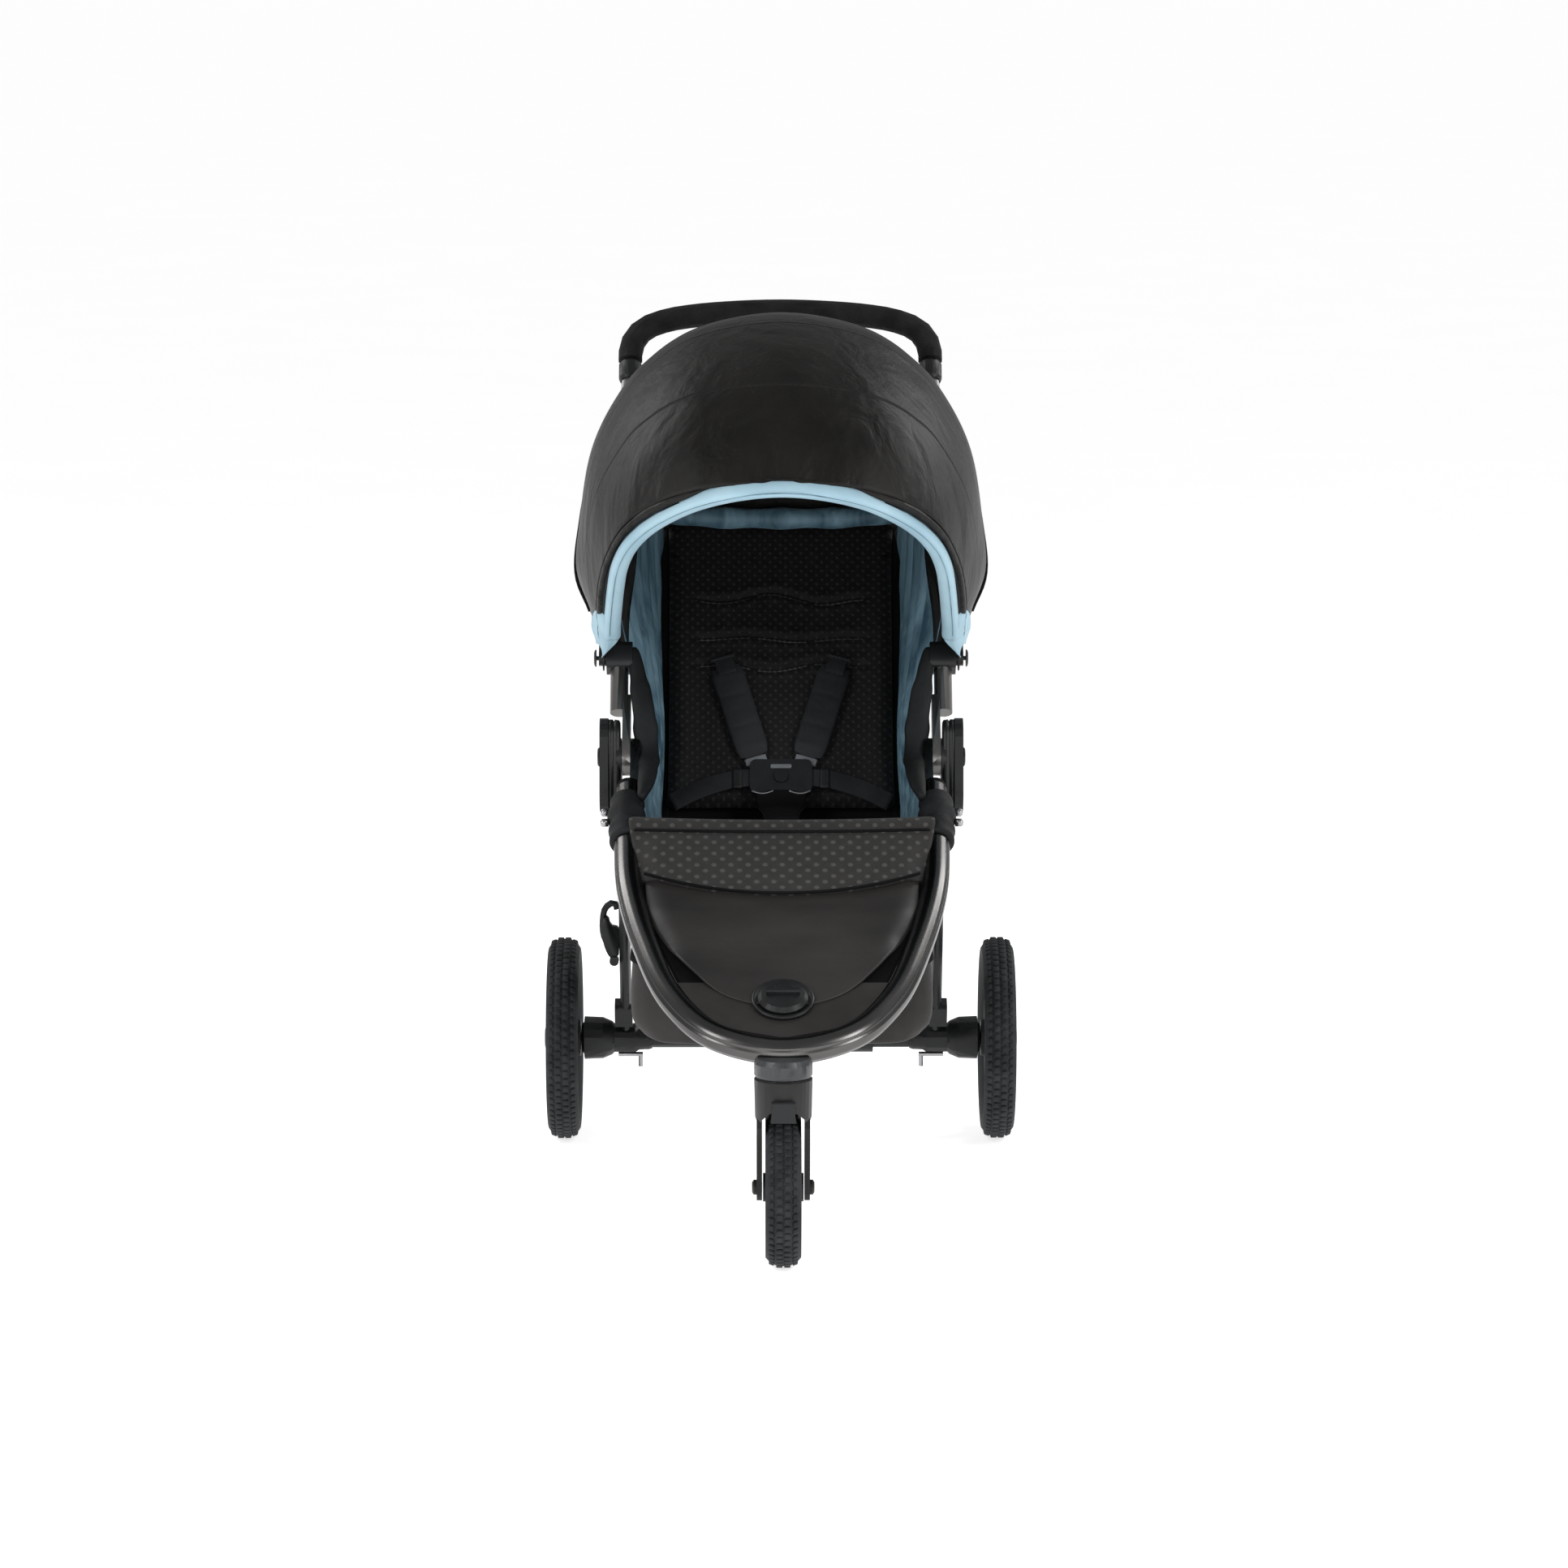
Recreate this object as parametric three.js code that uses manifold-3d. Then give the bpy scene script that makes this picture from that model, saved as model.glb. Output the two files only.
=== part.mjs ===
// Three-wheel jogging stroller with a folding frame, folding canopy and swivelling front wheel.
// Millimetres, +Z up, front toward -Y. The frame is drawn in the open, standing position.
import * as THREE from 'three';
import { mergeVertices } from 'three/addons/utils/BufferGeometryUtils.js';
import Module from 'manifold-3d';

const wasm = await Module();
wasm.setup();

// ---------------------------------------------------------------- driving dimensions
const GAP = 0.3;                       // clearance between neighbouring pieces
const AXLE = { y: 287.5, z: 131 };       // rear axle
const PIVOT = { y: 107.5, z: 530 };      // fold pivot, shared by the three frames
const FRONT_DIR = 207;                 // direction of the front frame from the pivot, degrees
const UPPER_DIR = 55;                  // direction of the handle frame
const LEG_DIR = -65.7;                 // direction of the rear legs
const LEG_LENGTH = 437.7;
const REAR_WHEEL = { x: 282, r: 131, half: 21 };
const FRONT_WHEEL = { y: -402.5, r: 95, half: 21.5 };
const SWIVEL_Y = -432.5;                // swivel axis of the fork
const SEAM_Z = 236;                    // joint between swivel housing and fork
const FRONT_TUBE_R = 14;
const UPPER_TUBE_R = 11.5;
const HANDLE_X = 196;                  // half spacing of the telescoping tubes
const HANDLE_TOP = 652;                // handle bow, measured along the tubes from the pivot
const TUBE_TOP = 558;                  // open end of the outer tubes
const GRIP_R = 16;
const BRACKET_AT = 140;                // canopy pivot, along the handle tubes
const REAR_HOOP_DIR = 64;              // canopy hoops, degrees from +Y about the canopy pivot
const MID_HOOP_DIR = 98;
const FRONT_HOOP_DIR = 139;
const CREASE = { y: 217.5, z: 392 };     // seat hinge line
const SEAT_DIR = 171;                  // direction of the seat bottom from the crease
const BACK_DIR = 58.6;                 // direction of the seat back from the crease
const BACK_LENGTH = 418;

// ---------------------------------------------------------------- helpers
const rad = (deg) => deg * Math.PI / 180;
const X_AXIS = new THREE.Vector3(1, 0, 0);

// Point at distance s from an origin {y, z}, in the given direction, at width x.
function polar(origin, deg, s, x = 0, off = 0) {
  const c = Math.cos(rad(deg));
  const n = Math.sin(rad(deg));
  return new THREE.Vector3(x, origin.y + s * c - off * n, origin.z + s * n + off * c);
}

// Unit normal of the plane spanned by X and a direction.
const planeNormal = (deg) => new THREE.Vector3(0, -Math.sin(rad(deg)), Math.cos(rad(deg)));

const BRACKET = (() => {
  const p = polar(PIVOT, UPPER_DIR, BRACKET_AT);
  return { y: p.y, z: p.z };
})();

function indexed(positions, triangles) {
  const g = new THREE.BufferGeometry();
  g.setAttribute('position', new THREE.Float32BufferAttribute(positions, 3));
  g.setIndex(triangles);
  if (volume(g) < 0) {
    for (let i = 0; i < triangles.length; i += 3) {
      [triangles[i], triangles[i + 1]] = [triangles[i + 1], triangles[i]];
    }
    g.setIndex(triangles);
  }
  return g;
}

function volume(g) {
  const p = g.getAttribute('position');
  const t = g.index.array;
  const [a, b, c] = [new THREE.Vector3(), new THREE.Vector3(), new THREE.Vector3()];
  let v = 0;
  for (let i = 0; i < t.length; i += 3) {
    a.fromBufferAttribute(p, t[i]);
    b.fromBufferAttribute(p, t[i + 1]);
    c.fromBufferAttribute(p, t[i + 2]);
    v += a.dot(b.cross(c)) / 6;
  }
  return v;
}

// Closed solid through rings with equal point counts, capped at both ends unless looped.
function loft(rings, looped = false) {
  const n = rings[0].length;
  const positions = rings.flat().flatMap((p) => [p.x, p.y, p.z]);
  const tris = [];
  const bands = looped ? rings.length : rings.length - 1;
  for (let k = 0; k < bands; k++) {
    const a = k * n;
    const b = ((k + 1) % rings.length) * n;
    for (let i = 0; i < n; i++) {
      const j = (i + 1) % n;
      tris.push(a + i, b + i, b + j, a + i, b + j, a + j);
    }
  }
  if (!looped) {
    for (const [k, flip] of [[0, false], [rings.length - 1, true]]) {
      const mid = new THREE.Vector3();
      rings[k].forEach((p) => mid.add(p));
      mid.divideScalar(n);
      const c = positions.length / 3;
      positions.push(mid.x, mid.y, mid.z);
      for (let i = 0; i < n; i++) {
        const j = (i + 1) % n;
        tris.push(...(flip ? [c, k * n + j, k * n + i] : [c, k * n + i, k * n + j]));
      }
    }
  }
  return indexed(positions, tris);
}

const circle = (r, n = 12) => Array.from({ length: n }, (_, i) => {
  const a = (i + 0.5) / n * 2 * Math.PI;
  return [r * Math.cos(a), r * Math.sin(a)];
});

const oval = (a, b, n = 12) => circle(1, n).map(([u, v]) => [a * u, b * v]);

// Rectangle with rounded corners, as a profile.
function roundRect(w, h, r, n = 3) {
  const out = [];
  for (const [cx, cy, a0] of [[1, 1, 0], [-1, 1, 90], [-1, -1, 180], [1, -1, 270]]) {
    for (let i = 0; i <= n; i++) {
      const a = rad(a0 + 90 * i / n);
      out.push([cx * (w / 2 - r) + r * Math.cos(a), cy * (h / 2 - r) + r * Math.sin(a)]);
    }
  }
  return out;
}

// Sweeps a profile along points; the profile's first axis is `side`, the second lies in the
// plane of the path.
function sweep(points, side, profile, looped = false) {
  const count = points.length;
  const rings = points.map((p, i) => {
    const before = looped ? points[(i + count - 1) % count] : points[Math.max(i - 1, 0)];
    const after = looped ? points[(i + 1) % count] : points[Math.min(i + 1, count - 1)];
    const t = after.clone().sub(before).normalize();
    const n = side.clone().cross(t).normalize();
    const s = t.clone().cross(n).normalize();
    return profile.map(([u, v]) => p.clone().addScaledVector(s, u).addScaledVector(n, v));
  });
  return loft(rings, looped);
}

const spline = (points, n) => new THREE.CatmullRomCurve3(points, false, 'centripetal')
  .getSpacedPoints(n);

// Revolves [radius, position] pairs about an axis through `at`.
function turned(pairs, axis, at, n = 24, looped = false) {
  const other = Math.abs(axis.z) > 0.9 ? X_AXIS : new THREE.Vector3(0, 0, 1);
  const u = other.clone().cross(axis).normalize();
  const v = axis.clone().cross(u);
  const rings = pairs.map(([r, h]) => circle(r, n).map(([a, b]) => at.clone()
    .addScaledVector(u, a).addScaledVector(v, b).addScaledVector(axis, h)));
  return loft(rings, looped);
}

const rod = (r, from, to, axis, at, n = 20) => turned([[r, from], [r, to]], axis, at, n);

// Outline of [u, v] points extruded along `axis`; u runs along `uDir`, v along `vDir`.
function slab(outline, at, uDir, vDir, from, to) {
  const w = uDir.clone().cross(vDir).normalize();
  const shape = new THREE.Shape(outline.map(([u, v]) => new THREE.Vector2(u, v)));
  const g = new THREE.ExtrudeGeometry(shape, { depth: to - from, bevelEnabled: false });
  const m = new THREE.Matrix4().makeBasis(uDir, vDir, w);
  m.setPosition(at.clone().addScaledVector(w, from));
  g.applyMatrix4(m);
  g.deleteAttribute('normal');
  g.deleteAttribute('uv');
  return mergeVertices(g, 1e-4);
}

// Box between two corners with rounded edges along one axis direction.
function block(x0, x1, centre, width, height, r, deg = 0) {
  const v = new THREE.Vector3(0, Math.cos(rad(deg)), Math.sin(rad(deg)));
  const w = X_AXIS.clone().cross(v);
  return slab(roundRect(width, height, r), new THREE.Vector3(0, centre.y, centre.z), v, w, x0, x1);
}

function solid(g) {
  const m = mergeVertices(g, 1e-4);
  m.deleteAttribute('normal');
  m.deleteAttribute('uv');
  const mesh = new wasm.Mesh({
    numProp: 3,
    vertProperties: new Float32Array(m.getAttribute('position').array),
    triVerts: new Uint32Array(m.index.array),
  });
  mesh.merge();
  return new wasm.Manifold(mesh);
}

function combine(base, added = [], removed = []) {
  let s = solid(base);
  for (const g of added) s = s.add(solid(g));
  for (const g of removed) s = s.subtract(solid(g));
  const m = s.getMesh();
  return indexed(Array.from(m.vertProperties), Array.from(m.triVerts));
}

const mirrored = (g) => {
  const p = Array.from(g.getAttribute('position').array);
  for (let i = 0; i < p.length; i += 3) p[i] = -p[i];
  const index = g.index ? g.index : mergeVertices(g, 1e-4).index;
  return indexed(p, Array.from(index.array));
};

const group = new THREE.Group();
group.name = 'jogging_stroller';

function add(name, geometry, colour, roughness, metalness = 0) {
  const g = geometry.index ? geometry.toNonIndexed() : geometry;
  g.computeVertexNormals();
  const material = new THREE.MeshStandardMaterial({ color: colour, roughness, metalness });
  const mesh = new THREE.Mesh(g, material);
  mesh.name = name;
  group.add(mesh);
}

function addPair(name, geometry, colour, roughness, metalness = 0) {
  add(`${name}_right`, geometry, colour, roughness, metalness);
  add(`${name}_left`, mirrored(geometry), colour, roughness, metalness);
}

const BLACK = 0x17181a;
const ALUMINIUM = 0x5b5e62;
const SILVER = 0x9a9da1;
const FABRIC = 0x1f2124;
const BLUE = 0x9fbccb;
const RUBBER = 0x1b1b1c;

// ---------------------------------------------------------------- front frame
const onFront = (s, x = 0, off = 0) => polar(PIVOT, FRONT_DIR, s, x, -off);
const U_CURVE = [[191, 66], [191, 190], [186, 280], [164.5, 391], [130, 497], [81, 562], [0, 590]];
const uHalf = U_CURVE.map(([x, s]) => onFront(s, x));
const uLeft = U_CURVE.slice(0, -1).reverse().map(([x, s]) => onFront(s, -x));
const uPath = spline([...uHalf, ...uLeft], 36);
const frontNormal = planeNormal(FRONT_DIR).negate();
const frontPlate = (sign) => slab(
  [...roundEnd(24, 0, 90, 270), [74, -11], [74, 11]],
  new THREE.Vector3(0, PIVOT.y, PIVOT.z),
  new THREE.Vector3(0, Math.cos(rad(FRONT_DIR)), Math.sin(rad(FRONT_DIR))),
  frontNormal.clone().negate(),
  sign > 0 ? 179 : -190,
  sign > 0 ? 190 : -179,
);

// Arc of a disc end, as outline points.
function roundEnd(r, cx, from, to, n = 8) {
  return Array.from({ length: n + 1 }, (_, i) => {
    const a = rad(from + (to - from) * i / n);
    return [cx + r * Math.cos(a), r * Math.sin(a)];
  });
}

const pivotAt = new THREE.Vector3(0, PIVOT.y, PIVOT.z);
const pivotHole = (r) => rod(r, -250, 250, X_AXIS, pivotAt);
add('front_frame_tube', combine(
  sweep(uPath, frontNormal, circle(FRONT_TUBE_R, 12)),
  [frontPlate(1), frontPlate(-1)],
  [pivotHole(5.3)],
), ALUMINIUM, 0.4, 0.8);

// Inner edge of the U tube between two distances, offset inward, for panels inside the frame.
function insideFrame(from, to, inset) {
  const pts = spline(uHalf, 60).map((p) => [p.x, p.clone().sub(pivotAt).length()]);
  const s = pts.map(([x]) => [x, 0]);
  const edge = [];
  for (let i = 1; i < pts.length - 1; i++) {
    const d = Math.sqrt(pts[i][1] ** 2 - pts[i][0] ** 2);
    const d0 = Math.sqrt(pts[i - 1][1] ** 2 - pts[i - 1][0] ** 2);
    const d1 = Math.sqrt(pts[i + 1][1] ** 2 - pts[i + 1][0] ** 2);
    const [tx, ts] = [pts[i + 1][0] - pts[i - 1][0], d1 - d0];
    const len = Math.hypot(tx, ts);
    s[i][0] = pts[i][0] - inset * ts / len;
    s[i][1] = d + inset * tx / len;
    if (s[i][1] > from && s[i][1] < to) edge.push(s[i]);
  }
  return edge;
}

function framePanel(from, to, inset, low, high) {
  const edge = insideFrame(from, to, inset);
  const outline = [...edge, ...edge.map(([x, s]) => [-x, s]).reverse()];
  const along = new THREE.Vector3(0, Math.cos(rad(FRONT_DIR)), Math.sin(rad(FRONT_DIR)));
  return slab(outline, pivotAt, X_AXIS, along, low, high);
}

add('footrest', combine(
  framePanel(462, 575, FRONT_TUBE_R + 1, -8, 8),
  [],
  [rod(6.3, -40, 40, frontNormal, onFront(505))],
), BLACK, 0.5);
add('calf_panel', framePanel(283, 458, FRONT_TUBE_R + 1, -2.5, 2.5), FABRIC, 0.8);
add('seat_front_panel', framePanel(176, 280, FRONT_TUBE_R + 9, -5, 5), FABRIC, 0.9);

// Knob that locks the swivel, on the footrest.
add('swivel_lock_knob', combine(
  turned([[29, 8.5], [30, 14], [26, 19], [14, 22]], frontNormal, onFront(505), 28),
  [rod(6, -6, 9, frontNormal, onFront(505), 16), block(-20, 20, onFront(505, 0, 23), 8, 8, 2, 27)],
), BLACK, 0.45);

// Housing under the bow that carries the swivel bearing, and the fork below it.
const swivelAt = new THREE.Vector3(0, SWIVEL_Y, 0);
const Z_AXIS = new THREE.Vector3(0, 0, 1);
add('swivel_housing', combine(
  turned([[33, SEAM_Z + GAP], [34.5, SEAM_Z + 3], [34.5, 252], [31, 258]], Z_AXIS, swivelAt, 32),
  [],
  [sweep(uPath, frontNormal, circle(FRONT_TUBE_R + GAP, 12)), framePanel(480, 578, 0, -12, 40),
    rod(8.3, 200, 248, Z_AXIS, swivelAt)],
), BLACK, 0.35, 0.2);

const wheelAt = new THREE.Vector3(0, FRONT_WHEEL.y, FRONT_WHEEL.r);
const forkLeg = (x0, x1) => slab(
  [[-36, 202], [-46, 176], [-17, 90], ...legFoot(), [19, 100], [0, 176], [-10, 202]],
  new THREE.Vector3(0, FRONT_WHEEL.y, 0),
  new THREE.Vector3(0, 1, 0), Z_AXIS, x0, x1,
);

function legFoot() {
  return [[-12, 83], [-5, 80], [5, 80], [12, 84], [17, 91]];
}

add('front_fork', combine(
  turned([[32, 184], [33.5, 188], [34.5, SEAM_Z - 3], [32, SEAM_Z]], Z_AXIS, swivelAt, 32),
  [forkLeg(25, 31.5), forkLeg(-31.5, -25), rod(8, 225, 246, Z_AXIS, swivelAt),
    rod(5, -37, 37, X_AXIS, wheelAt), turned([[9, 31.5], [9, 35], [6, 37]], X_AXIS, wheelAt, 16),
    turned([[6, -37], [9, -35], [9, -31.5]], X_AXIS, wheelAt, 16)],
  [rod(100, -24.9, 24.9, X_AXIS, wheelAt, 48),
    slab([[-24.9, 150], [24.9, 150], [24.9, 188], [16, 197], [-16, 197], [-24.9, 188]],
      new THREE.Vector3(0, SWIVEL_Y, 0), X_AXIS, Z_AXIS, -60, 60)],
), BLACK, 0.35, 0.2);

// Quick-release lever on the front of the fork crown.
const leverAt = new THREE.Vector3(0, SWIVEL_Y - 38.4, 210);
add('fork_lever', combine(
  rod(3.6, -14, 14, X_AXIS, leverAt, 14),
  [slab([[-15, -22], [15, -22], [12.5, -6], [12.5, 0], [-12.5, 0], [-12.5, -6]],
    leverAt, X_AXIS, Z_AXIS, -3, 3)],
), BLACK, 0.4);

// ---------------------------------------------------------------- wheels
function tyreSection(r, half, depth) {
  return [
    [r - depth, -half * 0.62], [r - depth * 0.5, -half], [r - 5, -half * 0.8],
    [r, -half * 0.36], [r, half * 0.36],
    [r - 5, half * 0.8], [r - depth * 0.5, half], [r - depth, half * 0.62],
  ];
}

function rimSolid(r, half, hubR, hubHalf, bore, at, spokes) {
  const ring = turned([
    [r, -half * 0.62], [r, half * 0.62], [r - 11, half * 0.5], [r - 11, -half * 0.5],
  ], X_AXIS, at, 36, true);
  const arms = Array.from({ length: spokes }, (_, i) => {
    const a = rad(90 + i * 360 / spokes);
    const out = new THREE.Vector3(0, Math.cos(a), Math.sin(a));
    const across = X_AXIS.clone().cross(out);
    return slab([[-7, hubR - 4], [7, hubR - 4], [11, r - 8], [-11, r - 8]], at, across, out, -5, 5);
  });
  return combine(ring, [rod(hubR, -hubHalf, hubHalf, X_AXIS, at, 20), ...arms],
    [rod(bore, -60, 60, X_AXIS, at, 14)]);
}

const FRONT_RIM_R = FRONT_WHEEL.r - 30;
add('front_tyre', turned(tyreSection(FRONT_WHEEL.r, FRONT_WHEEL.half, 29.5), X_AXIS, wheelAt, 40,
  true), RUBBER, 0.9);
add('front_rim', rimSolid(FRONT_RIM_R, FRONT_WHEEL.half, 17, 24, 5.3, wheelAt, 5), BLACK, 0.45);

const REAR_RIM_R = REAR_WHEEL.r - 34;
for (const [side, sign] of [['right', 1], ['left', -1]]) {
  const at = new THREE.Vector3(sign * REAR_WHEEL.x, AXLE.y, AXLE.z);
  add(`rear_tyre_${side}`, turned(tyreSection(REAR_WHEEL.r, REAR_WHEEL.half, 33.5), X_AXIS, at, 48,
    true), RUBBER, 0.9);
  add(`rear_rim_${side}`, rimSolid(REAR_RIM_R, REAR_WHEEL.half, 24, 21, 6.3, at, 5), BLACK, 0.45);
}

// ---------------------------------------------------------------- rear frame
const onLeg = (s, x = 0) => polar(PIVOT, LEG_DIR, s, x);
const legDir = new THREE.Vector3(0, Math.cos(rad(LEG_DIR)), Math.sin(rad(LEG_DIR)));
const legNormal = X_AXIS.clone().cross(legDir);
const axleAt = new THREE.Vector3(0, AXLE.y, AXLE.z);
addPair('rear_leg', combine(
  sweep([onLeg(76, 201.5), onLeg(240, 201.5), onLeg(LEG_LENGTH - 20, 201.5)], legNormal,
    oval(13, 7.5, 14)),
  [slab([...roundEnd(24, 0, 90, 270), [96, -10], [96, 10]], pivotAt, legDir, legNormal,
    201.4, 207.8),
  block(193, 216, onLeg(398), 34, 26, 6, LEG_DIR)],
  [pivotHole(5.3), rod(19.3, 150, 250, X_AXIS, axleAt, 24)],
), ALUMINIUM, 0.4, 0.8);

addPair('axle_casting', turned([
  [14, 167.5], [15.5, 172], [16, 185], [19, 190], [19, 217], [22, 220], [27, 232], [28, 256],
  [20, 257], [18, 260], [6, 260.5], [6, 306], [4, 308],
], X_AXIS, axleAt, 16), BLACK, 0.45);
add('rear_axle_tube', rod(13, -167.2, 167.2, X_AXIS, axleAt, 16), ALUMINIUM, 0.4, 0.8);

// Wheel release pins under the axle castings.
const pinAt = new THREE.Vector3(0, AXLE.y, AXLE.z - 22);
addPair('wheel_release_pin', combine(
  rod(3, 180, 212, X_AXIS, pinAt, 12),
  [rod(3, -16, 0, Z_AXIS, pinAt.clone().setX(183), 12)],
), SILVER, 0.35, 0.9);

// Parking brake pedal on a sleeve around the axle tube.
add('brake_pedal', combine(
  rod(19, 50, 120, X_AXIS, axleAt, 24),
  [block(58, 112, { y: AXLE.y + 48, z: AXLE.z + 10 }, 66, 9, 3, 14)],
  [rod(13.3, 40, 130, X_AXIS, axleAt, 24)],
), BLACK, 0.5);

// Hook that keeps the folded frame closed, on the left rear leg.
const hookAt = onLeg(300, -212);
const hookCurve = [[-215, -10], [-221, 4], [-229, 22], [-230, 42], [-226, 58], [-215, 64], [-211.5, 56]];
add('fold_latch_hook', combine(
  sweep(spline(hookCurve.map(([x, h]) => new THREE.Vector3(x, hookAt.y, hookAt.z + h)), 14),
    new THREE.Vector3(0, 1, 0), roundRect(12, 8, 3, 1)),
  [rod(6, -8, 8, new THREE.Vector3(0, 1, 0), new THREE.Vector3(-215.5, hookAt.y, hookAt.z - 12), 16)],
), BLACK, 0.4);

// ---------------------------------------------------------------- upper frame
const onUpper = (s, x = 0, off = 0) => polar(PIVOT, UPPER_DIR, s, x, off);
const upperNormal = planeNormal(UPPER_DIR);
const upperDir = new THREE.Vector3(0, Math.cos(rad(UPPER_DIR)), Math.sin(rad(UPPER_DIR)));
const tubePath = [
  onUpper(62, 205.5), onUpper(190, 205.5), onUpper(215, 203.6), onUpper(240, 200.7),
  onUpper(265, 197.9), onUpper(290, 196), onUpper(TUBE_TOP, 196),
];
addPair('upper_tube', combine(
  sweep(tubePath, upperNormal, circle(UPPER_TUBE_R, 14)),
  [slab([...roundEnd(24, 0, 90, 270), [84, -9], [84, 9]], pivotAt, upperDir, upperNormal,
    190.3, 200.7)],
  [pivotHole(5.3), rod(9.4, 0, 200, upperDir, onUpper(410, HANDLE_X), 18)],
), SILVER, 0.35, 0.9);

addPair('height_collar', combine(
  turned([[13.5, 546], [15, 550], [15, 570], [12.5, 574]], upperDir, onUpper(0, HANDLE_X), 20),
  [],
  [rod(UPPER_TUBE_R + GAP, 500, TUBE_TOP + GAP, upperDir, onUpper(0, HANDLE_X), 20),
    rod(9.4, 500, 600, upperDir, onUpper(0, HANDLE_X), 20)],
), BLACK, 0.4);

const BOW = [[HANDLE_X, 588], [HANDLE_X - 4, 606], [179, 624], [152, 637], [112, 645], [58, 650]];
const bowPath = (from) => {
  const half = [[HANDLE_X, from], ...BOW].map(([x, s]) => onUpper(s, x));
  const other = [...half].reverse().map((p) => p.clone().setX(-p.x));
  const bend = spline([...half.slice(1), onUpper(HANDLE_TOP), ...other.slice(0, -1)], 26);
  return [half[0], ...bend, other[other.length - 1]];
};
add('handle_tube', sweep(bowPath(430), upperNormal, circle(9, 10)), SILVER, 0.35, 0.9);
add('handle_grip', combine(
  sweep(bowPath(577), upperNormal, circle(GRIP_R, 12)),
  [],
  [sweep(bowPath(420), upperNormal, circle(9.3, 10))],
), BLACK, 0.9);

// ---------------------------------------------------------------- pivot covers
addPair('pivot_housing', combine(
  slab([...roundEnd(23, 26, -90, 90), ...roundEnd(25, -44, 90, 270)], pivotAt,
    new THREE.Vector3(0, 0.14, 0.99).normalize(), new THREE.Vector3(0, -0.99, 0.14).normalize(),
    218, 229),
  [rod(5, 178.5, 220, X_AXIS, pivotAt, 20), rod(11, 208.1, 219, X_AXIS, pivotAt, 20),
    turned([[12, 229], [12, 230.5], [10, 232]], X_AXIS, pivotAt, 20)],
), BLACK, 0.4);

// Cuffs that wrap the front tubes where the seat is fastened.
addPair('seat_cuff', combine(
  sweep([onFront(98, 193), onFront(118, 194), onFront(160, 194), onFront(180, 193)], frontNormal,
    oval(20, 24, 20)),
  [],
  [sweep(uPath, frontNormal, circle(FRONT_TUBE_R + GAP, 12))],
), FABRIC, 0.9);

// ---------------------------------------------------------------- canopy
const bracketAt = new THREE.Vector3(0, BRACKET.y, BRACKET.z);
addPair('canopy_bracket', combine(
  block(189, 222, BRACKET, 36, 34, 8, UPPER_DIR),
  [],
  [rod(UPPER_TUBE_R + GAP, -60, 60, upperDir, onUpper(BRACKET_AT, 205.5), 20)],
), BLACK, 0.4);
addPair('canopy_pivot', combine(
  rod(2.8, 222.3, 236, X_AXIS, bracketAt, 14),
  [turned([[11, 235], [11, 236.5], [8, 238]], X_AXIS, bracketAt, 20)],
), BLACK, 0.4);
addPair('canopy_disc', combine(
  rod(16, 224.8, 226.8, X_AXIS, bracketAt, 28),
  [],
  [rod(3.1, 200, 260, X_AXIS, bracketAt, 14)],
), BLACK, 0.5);

// Hoop outlines as [half width, distance from the canopy pivot].
const REAR_HOOP = [[3, 60], [22, 112], [18, 178], [3, 258], [-26, 322], [-60, 374], [-122, 426]];
const MID_HOOP = [[3, 60], [20, 112], [17, 178], [3, 258], [-24, 318], [-58, 366], [-120, 410]];
const FRONT_HOOP = [[-1, 60], [0, 112], [-5, 178], [-15, 230], [-35, 286], [-73, 334], [-131, 364]];

function hoopPoints(list, top, base, deg, shift = 0, count = 30) {
  const half = [[0, 20], ...list].map(([w, r]) => polar(BRACKET, deg, r + shift, base + w));
  const other = half.map((p) => p.clone().setX(-p.x)).reverse();
  return spline([...half, polar(BRACKET, deg, top + shift), ...other], count);
}

function hoop(list, top, base, deg) {
  const points = hoopPoints(list, top, base, deg);
  const eye = (x) => rod(10, x - 1.1, x + 1.1, X_AXIS, bracketAt, 20);
  return combine(
    sweep([polar(BRACKET, deg, 5, base), ...points, polar(BRACKET, deg, 5, -base)],
      planeNormal(deg), [[4, 1.1], [-4, 1.1], [-4, -1.1], [4, -1.1]]),
    [eye(base), eye(-base)],
    [rod(3.1, -260, 260, X_AXIS, bracketAt, 14)],
  );
}

const HOOPS = {
  rear: { list: REAR_HOOP, top: 446, base: 230.7, deg: REAR_HOOP_DIR },
  mid: { list: MID_HOOP, top: 430, base: 228.2, deg: MID_HOOP_DIR },
  front: { list: FRONT_HOOP, top: 372, base: 223.4, deg: FRONT_HOOP_DIR },
};
for (const [name, h] of Object.entries(HOOPS)) {
  add(`canopy_${name}_hoop`, hoop(h.list, h.top, h.base, h.deg), BLACK, 0.5);
}

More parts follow.
